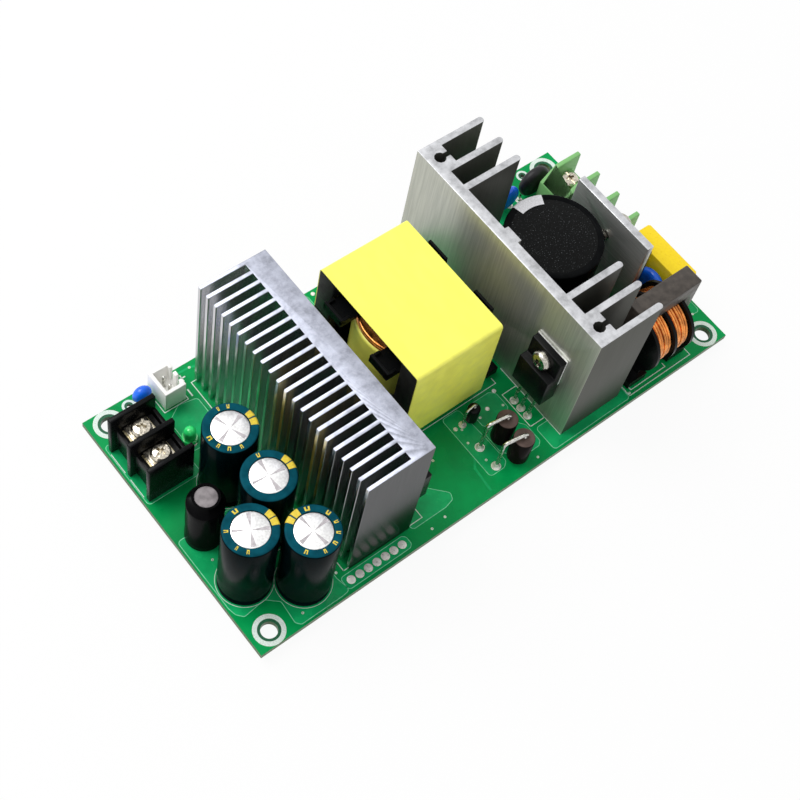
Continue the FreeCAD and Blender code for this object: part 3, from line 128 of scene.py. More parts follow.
def solids_in(node, below=math.inf):
    """Low and high corner of each separate solid in a CAD node, or of what it has below a height."""
    bm = merged(node)
    verts = [vert for vert in bm.verts if vert.co.z < below]
    left, found = set(verts), []
    for first in verts:
        if first not in left:
            continue
        left.remove(first)
        places, waiting = [], [first]
        while waiting:
            vert = waiting.pop()
            places.append(vert.co)
            near = {edge.other_vert(vert) for edge in vert.link_edges} & left
            left -= near
            waiting += near
        low = Vector([min(place[i] for place in places) for i in range(3)])
        high = Vector([max(place[i] for place in places) for i in range(3)])
        found.append((low, high))
    bm.free()
    return found


def ease(bm, width, segments=2, over=40.0):
    """Round the edges that turn by more than an angle, as a mould or a deburring tool leaves them."""
    edges = [edge for edge in bm.edges
             if len(edge.link_faces) == 2 and edge.calc_face_angle(0) > math.radians(over)]
    bmesh.ops.bevel(bm, geom=edges, offset=width, offset_type="OFFSET", affect="EDGES", segments=segments,
                    profile=0.5, material=-1, clamp_overlap=True)


def eased_node(node, width, material, slot, segments=2, over=40.0, name=None):
    """A CAD node with its edges eased, in the node's place."""
    bm = solid_of(node)
    ease(bm, width, segments, over)
    finish_piece(name or f"{node}_finished", bm, material, slot, node)


def join(bm, part):
    """Move a part's mesh into another bmesh."""
    mesh = bpy.data.meshes.new("part")
    part.to_mesh(mesh)
    part.free()
    bm.from_mesh(mesh)
    bpy.data.meshes.remove(mesh)


def carved(bm, cutter):
    """Cut one bmesh out of another, both in millimetres."""
    holders = []
    for made in (bm, cutter):
        bmesh.ops.recalc_face_normals(made, faces=made.faces)
        mesh = bpy.data.meshes.new("carving")
        made.to_mesh(mesh)
        made.free()
        holder = bpy.data.objects.new("carving", mesh)
        bpy.context.scene.collection.objects.link(holder)
        holders.append(holder)
    cut = holders[0].modifiers.new("cut", "BOOLEAN")
    cut.operation = "DIFFERENCE"
    cut.solver = "EXACT"
    cut.use_self = True
    cut.object = holders[1]
    bpy.context.view_layer.update()
    graph = bpy.context.evaluated_depsgraph_get()
    result = bmesh.new()
    result.from_mesh(holders[0].evaluated_get(graph).to_mesh())
    for holder in holders:
        mesh = holder.data
        bpy.data.objects.remove(holder)
        bpy.data.meshes.remove(mesh)
    if not result.faces:
        raise RuntimeError("nothing is left of a carved shape")
    return result


def turn_z(degrees):
    """A turn about the upright axis."""
    return Matrix.Rotation(math.radians(degrees), 3, "Z")


def polar(centre, radius, degrees):
    """The point at a distance and an angle from a centre, in a plane."""
    angle = math.radians(degrees)
    return centre[0] + radius * math.cos(angle), centre[1] + radius * math.sin(angle)


def arc(centre, radius, start, stop, steps=6):
    """Points of an arc in a profile, between two angles in degrees."""
    return [polar(centre, radius, start + (stop - start) * step / steps) for step in range(steps + 1)]


def block(bm, low, high, width=0.0, segments=2):
    """A box between two corners, with its edges eased."""
    made = bmesh.ops.create_cube(bm, size=1.0)["verts"]
    low, high = Vector(low), Vector(high)
    bmesh.ops.scale(bm, vec=high - low, verts=made)
    bmesh.ops.translate(bm, vec=(low + high) / 2, verts=made)
    if width:
        edges = list({edge for vert in made for edge in vert.link_edges})
        bmesh.ops.bevel(bm, geom=edges, offset=width, offset_type="OFFSET", affect="EDGES",
                        segments=segments, profile=0.5, material=-1)
    return made


def spun(bm, profile, centre, axis="Z", steps=64):
    """Turn a profile of (radius, height) about an axis through the centre."""
    part = bmesh.new()
    verts = [part.verts.new((radius, 0, height)) for radius, height in profile]
    edges = [part.edges.new(pair) for pair in zip(verts, verts[1:])]
    bmesh.ops.spin(part, geom=verts + edges, cent=(0, 0, 0), axis=(0, 0, 1), angle=math.tau, steps=steps,
                   use_merge=True, use_duplicate=False)
    bmesh.ops.remove_doubles(part, verts=part.verts, dist=SAME_PLACE)
    bmesh.ops.recalc_face_normals(part, faces=part.faces)
    turn = {"Z": Matrix.Identity(4), "X": Matrix.Rotation(math.pi / 2, 4, "Y"),
            "Y": Matrix.Rotation(-math.pi / 2, 4, "X")}[axis]
    part.transform(Matrix.Translation(centre) @ turn)
    join(bm, part)


def turned_piece(name, profile, centre, material, slot, *nodes, axis="Z", steps=64, smooth=50):
    """A profile turned about an axis, as a piece of its own."""
    bm = bmesh.new()
    spun(bm, profile, centre, axis, steps)
    finish_piece(name, bm, material, slot, *nodes, smooth=smooth)


def ring(bm, x, y, inner, outer, low, high, steps=40):
    """A flat ring that lies level, between two radii and two heights."""
    spun(bm, [(inner, low), (outer, low), (outer, high), (inner, high), (inner, low)], (x, y, 0), steps=steps)


def strip(bm, start, end, width, low, high):
    """A straight strip between two points on the board."""
    run = Vector(end) - Vector(start)
    made = block(bm, (-width / 2, -width / 2, low), (run.length + width / 2, width / 2, high))
    bmesh.ops.rotate(bm, verts=made, matrix=Matrix.Rotation(math.atan2(run.y, run.x), 3, "Z"))
    bmesh.ops.translate(bm, vec=(*start, 0), verts=made)


def laid_shape(bm, outline, low, high, rim=0.0):
    """A flat shape from its outline, with a rim in the piece's second material."""
    part = bmesh.new()
    face = part.faces.new([part.verts.new((x, y, high)) for x, y in outline])
    if rim:
        face.normal_update()
        edge = bmesh.ops.inset_region(part, faces=[face], thickness=rim, use_boundary=True,
                                      use_even_offset=True)
        for face in edge["faces"]:
            face.material_index = 1
    bmesh.ops.recalc_face_normals(part, faces=part.faces)
    if part.faces[0].normal.z < 0:
        bmesh.ops.reverse_faces(part, faces=part.faces)
    bmesh.ops.solidify(part, geom=part.faces[:], thickness=high - low)
    join(bm, part)


def rounded_route(corners, radius, steps=5):
    """A route through corners whose turns are arcs of the given radius."""
    corners = [Vector(corner) for corner in corners]
    route = [corners[0]]
    for before, corner, after in zip(corners, corners[1:], corners[2:]):
        back, ahead = (before - corner).normalized(), (after - corner).normalized()
        half = back.angle(ahead) / 2
        room = 0.49 * min((before - corner).length, (after - corner).length)
        reach = min(radius / math.tan(half), room)
        bend = reach * math.tan(half)
        centre = corner + (back + ahead).normalized() * (bend / math.sin(half))
        start, stop = corner + back * reach - centre, corner + ahead * reach - centre
        route += [centre + start.slerp(stop, step / steps) for step in range(steps + 1)]
    return route + [corners[-1]]


def rounded(corners, radius):
    """A closed outline on the board, its corners turned to arcs."""
    loop = [Vector((x, y, 0)) for x, y in corners]
    points = []
    for index, corner in enumerate(loop):
        points += rounded_route([loop[index - 1], corner, loop[(index + 1) % len(loop)]], radius, 4)[1:-1]
    return [(point.x, point.y) for point in points]


def wire_piece(name, routes, radius, material, slot, *nodes):
    """Round wires of one radius along lists of points, as one piece."""
    bm = bmesh.new()
    for route in routes:
        curve = bpy.data.curves.new(name, "CURVE")
        curve.dimensions = "3D"
        curve.bevel_depth = radius
        curve.bevel_resolution = 3
        curve.use_fill_caps = True
        spline = curve.splines.new("POLY")
        spline.points.add(len(route) - 1)
        for point, place in zip(spline.points, route):
            point.co = (*place, 1.0)
        holder = bpy.data.objects.new(name, curve)
        bpy.context.scene.collection.objects.link(holder)
        bpy.context.view_layer.update()
        mesh = bpy.data.meshes.new_from_object(holder)
        bm.from_mesh(mesh)
        bpy.data.objects.remove(holder)
        bpy.data.curves.remove(curve)
        bpy.data.meshes.remove(mesh)
    finish_piece(name, bm, material, slot, *nodes, smooth=50)


# Materials


def linear(hex_colour):
    """An sRGB hex colour as linear red, green, blue and alpha."""
    parts = [int(hex_colour[i:i + 2], 16) / 255 for i in (1, 3, 5)]
    return tuple(c / 12.92 if c <= 0.04045 else ((c + 0.055) / 1.055) ** 2.4 for c in parts) + (1.0,)


def shade(colour, factor):
    """A linear colour made darker or lighter."""
    return tuple(min(1.0, part * factor) for part in colour[:3]) + (1.0,)


def add(tree, kind, settings=None, stops=(), **inputs):
    """Add a node, set its properties and colour stops, and set or link its inputs by name or number."""
    node = tree.nodes.new(kind)
    for name, value in (settings or {}).items():
        setattr(node, name, value)
    for index, (place, colour) in enumerate(stops):
        elements = node.color_ramp.elements
        element = elements[index] if index < len(elements) else elements.new(1.0)
        element.position = place
        element.color = colour
    for name, value in inputs.items():
        socket = node.inputs[int(name[1:]) if name[1:].isdigit() else name.replace("_", " ")]
        if isinstance(value, bpy.types.Node):
            value = value.outputs[0]
        if isinstance(value, bpy.types.NodeSocket):
            tree.links.new(value, socket)
        else:
            socket.default_value = value
    return node


def new_material(name, colour, roughness, metallic=0.0, **inputs):
    """A material's tree, its Principled shader, and the object's own coordinates in metres."""
    material = bpy.data.materials.new(name)
    material.use_nodes = True
    tree = material.node_tree
    tree.nodes.clear()
    shader = add(tree, "ShaderNodeBsdfPrincipled", Base_Color=colour, Roughness=roughness, Metallic=metallic,
                 **inputs)
    add(tree, "ShaderNodeOutputMaterial", Surface=shader)
    place = add(tree, "ShaderNodeTexCoord").outputs["Object"]
    return material, tree, shader, place


def tones(colour, low, high):
    """Colour stops from a darker to a lighter share of one colour, where most of a noise lies."""
    return (NOISE_LOW, shade(colour, low)), (NOISE_HIGH, shade(colour, high))


def mottle(tree, shader, place, colour, cell_mm, spread, rough=None, depth_mm=0.0, stretch=(1, 1, 1),
           detail=3.0):
    """Vary colour, roughness and relief together, in patches of a real size. The spread is the darkest
    and the lightest share of the colour."""
    laid = add(tree, "ShaderNodeMapping", Vector=place, Scale=stretch)
    noise = add(tree, "ShaderNodeTexNoise", Vector=laid, Scale=1 / (cell_mm * MM), Detail=detail)
    tone = add(tree, "ShaderNodeValToRGB", stops=tones(colour, *spread), Fac=noise)
    tree.links.new(tone.outputs[0], shader.inputs["Base Color"])
    if rough:
        level = add(tree, "ShaderNodeMapRange", Value=noise, From_Min=NOISE_LOW, From_Max=NOISE_HIGH,
                    To_Min=rough[0], To_Max=rough[1])
        tree.links.new(level.outputs[0], shader.inputs["Roughness"])
    if depth_mm:
        relief = add(tree, "ShaderNodeBump", Height=noise, Strength=0.5, Distance=depth_mm * MM)
        tree.links.new(relief.outputs[0], shader.inputs["Normal"])
    return noise, tone


def mottled(name, colour, roughness, cell_mm, spread, rough=None, depth_mm=0.0, stretch=(1, 1, 1), detail=3.0,
            metallic=0.0, **inputs):
    """A material that needs one pattern alone."""
    material, tree, shader, place = new_material(name, colour, roughness, metallic, **inputs)
    mottle(tree, shader, place, colour, cell_mm, spread, rough, depth_mm, stretch, detail)
    return material


def scatter_specks(tree, shader, place, tone, speck_mm, detail, start, colour):
    """Add pale specks of a real size to a tone, where their noise is above a start."""
    speck = add(tree, "ShaderNodeTexNoise", Vector=place, Scale=1 / (speck_mm * MM), Detail=detail)
    pale = add(tree, "ShaderNodeValToRGB", stops=((start, (0, 0, 0, 1)), (start + 0.08, colour)), Fac=speck)
    both = add(tree, "ShaderNodeMix", {"data_type": "RGBA", "blend_type": "ADD"}, i0=1.0, i6=tone, i7=pale)
    tree.links.new(both.outputs[2], shader.inputs["Base Color"])


def facing(tree, axis, low=0.5, high=0.75):
    """How far a face looks along an axis of the object, either way: 0 below one share, 1 above another."""
    normal = add(tree, "ShaderNodeNewGeometry").outputs["Normal"]
    parts = add(tree, "ShaderNodeSeparateXYZ", Vector=normal)
    share = add(tree, "ShaderNodeMath", {"operation": "ABSOLUTE"}, i0=parts.outputs[axis])
    return add(tree, "ShaderNodeMapRange", Value=share, From_Min=low, From_Max=high)


def seen_plainly(tree):
    """1 on a ray from the camera, off a glossy face or through a clear one, and 0 on a ray that lights."""
    path = add(tree, "ShaderNodeLightPath").outputs
    seen = add(tree, "ShaderNodeMath", {"operation": "MAXIMUM"}, i0=path["Is Camera Ray"],
               i1=path["Is Glossy Ray"])
    return add(tree, "ShaderNodeMath", {"operation": "MAXIMUM"}, i0=seen, i1=path["Is Transmission Ray"])


def solder_mask(colour):
    """Green epoxy solder mask over woven glass laminate: glossy and even, with a dark cut edge."""
    material, tree, shader, place = new_material("solder_mask", colour, 0.3, Specular_IOR_Level=0.12)
    # A cloud of 9 mm is the mask's uneven thickness; the weave of 0.5 mm is faint relief on the mask and
    # mottles the cut edge
    _, tone = mottle(tree, shader, place, colour, cell_mm=9.0, spread=(0.82, 1.12), rough=(0.24, 0.36))
    weave = add(tree, "ShaderNodeTexNoise", Vector=place, Scale=1 / (0.5 * MM), Detail=1.0)
    stops = ((0.35, linear("#33502C")), (0.65, linear("#5A7040")))
    cut = add(tree, "ShaderNodeValToRGB", stops=stops, Fac=weave)
    both = add(tree, "ShaderNodeMix", {"data_type": "RGBA"}, i0=facing(tree, 2), i6=cut, i7=tone)
    tree.links.new(both.outputs[2], shader.inputs["Base Color"])
    relief = add(tree, "ShaderNodeBump", Height=weave, Strength=0.25, Distance=0.02 * MM)
    tree.links.new(relief.outputs[0], shader.inputs["Normal"])
    return material


def masked_copper(name, colour, cell_mm):
    """Copper foil under solder mask: a paler, slightly livelier green than the bare laminate."""
    return mottled(name, colour, 0.26, cell_mm, spread=(0.8, 1.2), rough=(0.2, 0.32), depth_mm=0.01,
                   Specular_IOR_Level=0.15)


def screen_ink(colour):
    """Screen-printed white ink: matt and thin, so a little green comes through its 0.25 mm grain."""
    return mottled("silkscreen_ink", colour, 0.6, cell_mm=0.25, spread=(0.8, 1.05), depth_mm=0.01,
                   Specular_IOR_Level=0.3)


def solder_tin(colour):
    """Solder and hot-air levelled tin: bright and soft-edged, wavy at about 0.8 mm where it froze."""
    return mottled("solder_tin", colour, 0.3, cell_mm=0.8, spread=(0.82, 1.05), rough=(0.24, 0.42),
                   depth_mm=0.04, metallic=0.35)


def bare_laminate(colour):
    """Epoxy laminate round a drilled hole: matt, darker than the mask, flecked by its glass."""
    return mottled("bare_laminate", colour, 0.5, cell_mm=0.4, spread=(0.7, 1.4), depth_mm=0.02,
                   Specular_IOR_Level=0.3)


def extruded_aluminium(name, face, sawn, axis, ends_sawn=True, rough=0.24, metal=1.0, painted_shade_from_mm=None, painted_shade_share=1.0):
    """Extruded aluminium: its faces keep the die's fine lines and mirror darkly, the ends that were sawn
    across are paler, matt and stained in soft patches of 3 mm, and faces that look along Y, beyond a distance
    from the middle, carry painted shade: a darker colour and a dimmer reflection."""
    material, tree, shader, place = new_material(name, face, rough, metal)
    along = tuple(0.03 if index == axis else 1.0 for index in range(3))
    lines, tone = mottle(tree, shader, place, face, cell_mm=0.35, spread=(0.86, 1.1), depth_mm=0.012,
                         stretch=along, detail=4.0)
    # Painted shade: faces that look along Y beyond the given distance are darkened and reflect more dimly
    if painted_shade_from_mm is not None:
        stops = ((0.3, shade(face, 0.9 * painted_shade_share)), (0.7, shade(face, 1.05 * painted_shade_share)))
        painted_shade_tone = add(tree, "ShaderNodeValToRGB", stops=stops, Fac=lines)
        parts = add(tree, "ShaderNodeSeparateXYZ", Vector=place)
        reach = add(tree, "ShaderNodeMath", {"operation": "ABSOLUTE"}, i0=parts.outputs[1])
        outer = add(tree, "ShaderNodeMapRange", Value=reach, From_Min=(painted_shade_from_mm - 0.3) * MM,
                    From_Max=painted_shade_from_mm * MM)
        share = add(tree, "ShaderNodeMath", {"operation": "MULTIPLY"}, i0=outer, i1=facing(tree, 1))
        tone = add(tree, "ShaderNodeMix", {"data_type": "RGBA"}, i0=share, i6=tone, i7=painted_shade_tone).outputs[2]
        dimmed_reflection_tint = add(tree, "ShaderNodeMix", {"data_type": "RGBA"}, i0=share, i6=(1, 1, 1, 1),
                    i7=(0.55, 0.55, 0.55, 1))
        tree.links.new(dimmed_reflection_tint.outputs[2], shader.inputs["Specular Tint"])
    stain = add(tree, "ShaderNodeTexNoise", Vector=place, Scale=1 / (3.2 * MM), Detail=6.0, Roughness=0.7)
    stops = ((0.36, shade(sawn, 0.72)), (0.5, sawn), (0.64, shade(sawn, 1.2)))
    pale = add(tree, "ShaderNodeValToRGB", stops=stops, Fac=stain)
    end = facing(tree, 2 if ends_sawn else 0)
    first, second = (tone, pale) if ends_sawn else (pale, tone)
    both = add(tree, "ShaderNodeMix", {"data_type": "RGBA"}, i0=end, i6=first, i7=second)
    tree.links.new(both.outputs[2], shader.inputs["Base Color"])
    levels = (rough, 0.44) if ends_sawn else (0.4, rough)
    level = add(tree, "ShaderNodeMapRange", Value=end, To_Min=levels[0], To_Max=levels[1])
    tree.links.new(level.outputs[0], shader.inputs["Roughness"])
    return material


def plated_steel(name, colour, roughness):
    """Zinc or nickel plate on cold-formed steel: bright, with the faint marks of its forming at 0.5 mm."""
    return mottled(name, colour, roughness, cell_mm=0.5, spread=(0.5, 1.0),
                   rough=(roughness * 0.8, roughness * 1.3), depth_mm=0.02, metallic=1.0)


def moulded_plastic(name, colour, roughness, texture_mm=0.25, depth_mm=0.015, specular=0.3):
    """Injection moulded plastic: one even colour, a soft sheen, and a fine spark-eroded skin."""
    return mottled(name, colour, roughness, texture_mm, spread=(0.95, 1.04),
                   rough=(roughness - 0.05, roughness + 0.08), depth_mm=depth_mm, Specular_IOR_Level=specular)


def sintered_ferrite(name, colour, roughness=0.6):
    """Ground and sintered manganese zinc ferrite: dark and dusty, with pale chips and pores of 0.35 mm."""
    material, tree, shader, place = new_material(name, colour, roughness, Specular_IOR_Level=0.3)
    _, tone = mottle(tree, shader, place, colour, cell_mm=1.5, spread=(0.7, 1.3),
                     rough=(roughness - 0.1, roughness + 0.1), depth_mm=0.05, detail=5.0)
    scatter_specks(tree, shader, place, tone, speck_mm=0.35, detail=2.0, start=0.68, colour=linear("#4A4641"))
    return material


def polyester_tape(colour):
    """Yellow polyester film tape, wound tight: thin and glossy, with faint long creases across the core."""
    return mottled("polyester_tape", colour, 0.32, cell_mm=2.5, spread=(0.94, 1.04), rough=(0.28, 0.4),
                   depth_mm=0.04, stretch=(1.0, 0.35, 1.0), Specular_IOR_Level=0.35)


def enamelled_copper(colour):
    """Copper wire under clear varnish: warm and glossy, darker where the varnish lies thick between turns."""
    return mottled("enamelled_copper", colour, 0.22, cell_mm=1.8, spread=(0.5, 1.25), rough=(0.16, 0.32),
                   metallic=0.9, Coat_Weight=0.3, Coat_Roughness=0.08)


def shrunk_sleeve(name, colour, top=None):
    """Heat-shrunk PVC sleeve: tight and glossy with small ripples. Given a top colour, its upward faces take
    that paler colour: partly the stretched fold over the rim, partly painted light on the lit top against the
    shaded sides.
    """
    material, tree, shader, place = new_material(name, colour, 0.2, Specular_IOR_Level=0.01)
    ripple, tone = mottle(tree, shader, place, colour, cell_mm=2.2, spread=(0.7, 1.3), rough=(0.16, 0.26),
                          depth_mm=0.03, stretch=(1.0, 1.0, 0.5))
    # Partly painted light: upward faces take the paler top colour, the sides stay darker
    if top:
        fold = add(tree, "ShaderNodeValToRGB", stops=tones(top, 0.75, 1.2), Fac=ripple)
        both = add(tree, "ShaderNodeMix", {"data_type": "RGBA"}, i0=facing(tree, 2), i6=tone, i7=fold)
        tree.links.new(both.outputs[2], shader.inputs["Base Color"])
    return material


def printed_film(name, colour):
    """Ink printed on the sleeve: opaque, satin, slightly rubbed at 0.4 mm."""
    return mottled(name, colour, 0.35, cell_mm=0.4, spread=(0.8, 1.05), depth_mm=0.01)


def speckled_disc(colour):
    """The bulk capacitor's end disc: black fibre paper with fine pale specks of dust and glass."""
    material, tree, shader, place = new_material("fibre_end_disc", colour, 0.45, Specular_IOR_Level=0.08)
    _, tone = mottle(tree, shader, place, colour, cell_mm=0.9, spread=(0.8, 1.3), rough=(0.34, 0.46),
                     depth_mm=0.02)
    # The real specks are under 0.1 mm; they are drawn 0.3 mm apart so that they show
    scatter_specks(tree, shader, place, tone, speck_mm=0.3, detail=1.0, start=0.66, colour=linear("#5C6062"))
    return material


def drawn_can(name, colour):
    """Deep-drawn aluminium can end: satin and nearly white; a greyer copy of it is a painted darker
    reflection on the vent's wedges.
    """
    return mottled(name, colour, 0.36, cell_mm=0.5, spread=(0.86, 1.1), rough=(0.3, 0.44), depth_mm=0.01,
                   metallic=1.0)


def dipped_epoxy(name, colour, roughness=0.22, specular=0.5):
    """Dipped and cured resin: a thick glossy skin that pooled unevenly over 2.5 mm."""
    return mottled(name, colour, roughness, cell_mm=2.5, spread=(0.7, 1.25), depth_mm=0.15, detail=2.0,
                   Specular_IOR_Level=specular)


def tinted_lens(colour):
    """Clear epoxy tinted green: it glows brighter at its thin rim than through its body."""
    return mottled("tinted_lens", colour, 0.12, cell_mm=1.0, spread=(0.8, 1.2), detail=1.0, Coat_Weight=0.5,
                   IOR=1.5)


def floor_paper(colour):
    """Matt white backdrop paper: white to the camera and in reflections, and it keeps a soft shadow."""
    material, tree, shader, place = new_material("floor_paper", colour, 0.9)
    mottle(tree, shader, place, colour, cell_mm=40.0, spread=(0.99, 1.0))
    share = add(tree, "ShaderNodeMath", {"operation": "MULTIPLY"}, i0=seen_plainly(tree), i1=FLOOR_GLOW)
    white = add(tree, "ShaderNodeEmission", Color=(1, 1, 1, 1), Strength=1.0)
    both = add(tree, "ShaderNodeMixShader", i0=share, i1=shader, i2=white)
    out = next(node for node in tree.nodes if node.bl_idname == "ShaderNodeOutputMaterial")
    tree.links.new(both.outputs[0], out.inputs["Surface"])
    return material


# Sizes, colours and light that a user would change


def length_choice(name, millimetres, description):
    """A length property whose default is given in millimetres."""
    return FloatProperty(name=name, default=millimetres * MM, min=0.01 * MM, max=5 * MM, precision=5,
                         subtype="DISTANCE", unit="LENGTH", description=description)


def colour_choice(name, hex_colour, description):
    """A colour property whose default is given as an sRGB hex value."""
    return FloatVectorProperty(name=name, default=linear(hex_colour), min=0.0, max=1.0, size=4,
                               subtype="COLOR", description=description)


class SupplySizes(bpy.types.PropertyGroup):
    """Sizes of the dressed details"""

    edge_ease: length_choice("Edge ease", 0.16, "Rounding of the cut aluminium edges")
    mould_ease: length_choice("Mould ease", 0.25, "Rounding of the moulded plastic edges")
    print_width: length_choice("Print width", 0.2, "Width of a printed line on the board")
    print_lift: length_choice("Print lift", 0.03, "Thickness of the printed ink")
    copper_lift: length_choice("Copper lift", 0.05, "Height of the copper under its mask")
    choke_wire: length_choice("Choke wire", 0.83, "Diameter of the choke's wire")
    transformer_wire: length_choice("Transformer wire", 0.9, "Diameter of the transformer's wire")


class SupplyColours(bpy.types.PropertyGroup):
    """Colours of the finishes"""

    board: colour_choice("Board", "#009A50", "Solder mask over bare laminate")
    copper: colour_choice("Masked copper", "#12A862", "Solder mask over copper")
    ink: colour_choice("Print", "#E4F3EA", "Printed outlines of the board")
    comb: colour_choice("Comb sink ends", "#9DA0AC", "Sawn ends of the comb heat sink")
    comb_face: colour_choice("Comb sink faces", "#C9C9CC", "Extruded faces of the comb heat sink")
    fins: colour_choice("Finned sink ends", "#C6C7CA", "Sawn ends of the finned heat sink")
    fins_face: colour_choice("Finned sink faces", "#B6B7AE", "Extruded faces of the finned heat sink")
    plate_face: colour_choice("Plate sink faces", "#BDBEBC", "Rolled faces of the plate heat sink")
    tape: colour_choice("Tape", "#FAF86C", "Polyester tape of the transformer")
    wire: colour_choice("Copper wire", "#EE9448", "Enamelled wire of the windings")
    can: colour_choice("Can sleeve", "#020E10", "Sides of the output capacitors")
    # The rim colour is also painted light: the sleeve's upward faces take it, the shaded sides take the can
    # colour
    can_rim_lit_top: colour_choice("Can rim", "#0C4A58", "Rims of the output capacitors")
    can_print: colour_choice("Can print", "#E9CE3C", "Print on the output capacitors")
    bulk: colour_choice("Bulk sleeve", "#08090A", "Sleeve of the bulk capacitor")
    black: colour_choice("Black plastic", "#0B0C0D", "Output terminals, bobbins and semiconductor cases")
    sage: colour_choice("Green plastic", "#83BE77", "Input terminals")
    white: colour_choice("White plastic", "#FFFDF8", "Fan connector")
    blue: colour_choice("Blue epoxy", "#1468F4", "Dipped capacitors")
    box: colour_choice("Capacitor box", "#FFDC1E", "Film capacitor box")
    lens: colour_choice("Indicator", "#35FF80", "Indicator lens")


class SupplyLight(bpy.types.PropertyGroup):
    """Light of the studio"""

    key: FloatProperty(name="Key", default=4.2, min=0.0, max=50.0, unit="POWER",
                       description="Power of the key lamp")
    fill: FloatProperty(name="Fill", default=0.18, min=0.0, max=50.0, unit="POWER",
                        description="Power of the fill lamp")
    world: FloatProperty(name="World", default=0.62, min=0.0, max=2.0, subtype="FACTOR",
                         description="Strength of the white surroundings as a light")


def size(name):
    """A length of the panel, in millimetres."""
    return getattr(bpy.context.scene.supply_sizes, name) / MM


# Finished materials by name
FINISHES = {}


def make_finishes():
    """Make every material once, from the colours of the panel."""
    tint = bpy.context.scene.supply_colours
    black = tint.black
    FINISHES.update({
        "board": solder_mask(tint.board),
        "copper": masked_copper("masked_copper", tint.copper, 5.0),
        "copper_edge": masked_copper("masked_copper_edge", linear("#86DAB0"), 1.0),
        "ink": screen_ink(tint.ink),
        "tin": solder_tin(linear("#F2F1EA")),
        "laminate": bare_laminate(linear("#1D5A3C")),
        # The comb's outermost flanks and nearly all of the finned sink's faces along Y carry painted shade
        "comb": extruded_aluminium("comb_aluminium", tint.comb_face, tint.comb, axis=2, rough=0.22,
                                   painted_shade_from_mm=29.9, painted_shade_share=0.25),
        "fins": extruded_aluminium("fin_aluminium", tint.fins_face, tint.fins, axis=2, rough=0.42, metal=0.75,
                                   painted_shade_from_mm=0.3, painted_shade_share=0.24),
        "plate": extruded_aluminium("plate_aluminium", tint.plate_face, tint.fins, axis=1, ends_sawn=False,
                                    rough=0.6),
        "screw": plated_steel("zinc_screw", linear("#CFCBC0"), 0.22),
        "nickel": plated_steel("nickel_screw", linear("#E6DECC"), 0.2),
        "lead": plated_steel("tinned_lead", linear("#DADAD4"), 0.24),
        "contact": plated_steel("tinned_brass", linear("#D8CDA6"), 0.28),
        "tab": plated_steel("tinned_copper_tab", linear("#E8E8E8"), 0.2),
        "ferrite": sintered_ferrite("transformer_ferrite", linear("#161615")),
        "choke_ferrite": sintered_ferrite("choke_ferrite", linear("#46403B"), 0.4),
        "rod_ferrite": sintered_ferrite("rod_ferrite", linear("#8C8688")),
        "bobbin": moulded_plastic("bobbin_phenolic", black, 0.3, specular=0.08),
        "black": moulded_plastic("terminal_nylon_black", black, 0.24, specular=0.1),
        "sage": moulded_plastic("terminal_nylon_green", tint.sage, 0.42),
        "white": moulded_plastic("connector_nylon", tint.white, 0.36),
        "case": moulded_plastic("moulding_compound", shade(black, 1.2), 0.3, 0.2, 0.02, 0.12),
        "fuse": moulded_plastic("fuse_case", linear("#2B1B14"), 0.4),
        "box": moulded_plastic("capacitor_box", tint.box, 0.32, 0.6, 0.01),
        # The diode's pale top against its dark sides is painted light and painted shade
        "diode": shrunk_sleeve("diode_epoxy", linear("#151211"), linear("#5E504B")),
        "tape": polyester_tape(tint.tape),
        "wire": enamelled_copper(tint.wire),
        "bulk_sleeve": shrunk_sleeve("bulk_sleeve", tint.bulk, linear("#101112")),
        "can_sleeve": shrunk_sleeve("can_sleeve", tint.can, tint.can_rim_lit_top),
        "coil_sleeve": shrunk_sleeve("coil_sleeve", linear("#0C0C0D")),
        "can_print": printed_film("can_print", tint.can_print),
        "bulk_print": printed_film("bulk_print", linear("#D9D9DC")),
        "bulk_top": speckled_disc(linear("#090A0A")),
        "vent": drawn_can("vented_aluminium", linear("#F4F4F3")),
        # A greyer copy of the can end, laid on the vent's wedges as a painted darker reflection
        "vent_flank": drawn_can("vent_flank", linear("#B4AFB2")),
        "blue": dipped_epoxy("blue_epoxy", tint.blue),
        "thermistor": dipped_epoxy("silicone_coat", linear("#19191B"), 0.45, 0.3),
        "lens": tinted_lens(tint.lens),
    })


# Board


def paint(node, material):
    """Give a CAD node that keeps its own shape a finished material."""
    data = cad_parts[node].data
    data.materials.clear()
    data.materials.append(FINISHES[material])


BOARD_TOP = node_box("circuit_board")[1].z
# Nodes whose leads pass through the board
LEAD_NODES = ("radial_leads", "output_capacitor_leads", "bulk_capacitor_leads", "transformer_pins",
              "choke_pins", "fan_connector_pins", "switch_transistor_leads", "output_rectifier_leads",
              "bridge_rectifier_leads", "standing_part_leads", "optocoupler_leads", "terminal_contacts")
CORNER_HOLES = [(x, y) for x in (-68.6, 68.6) for y in (-31.2, 31.2)]
TOOLING_HOLES = [(-62.2, 32.7), (62.2, 32.7)]
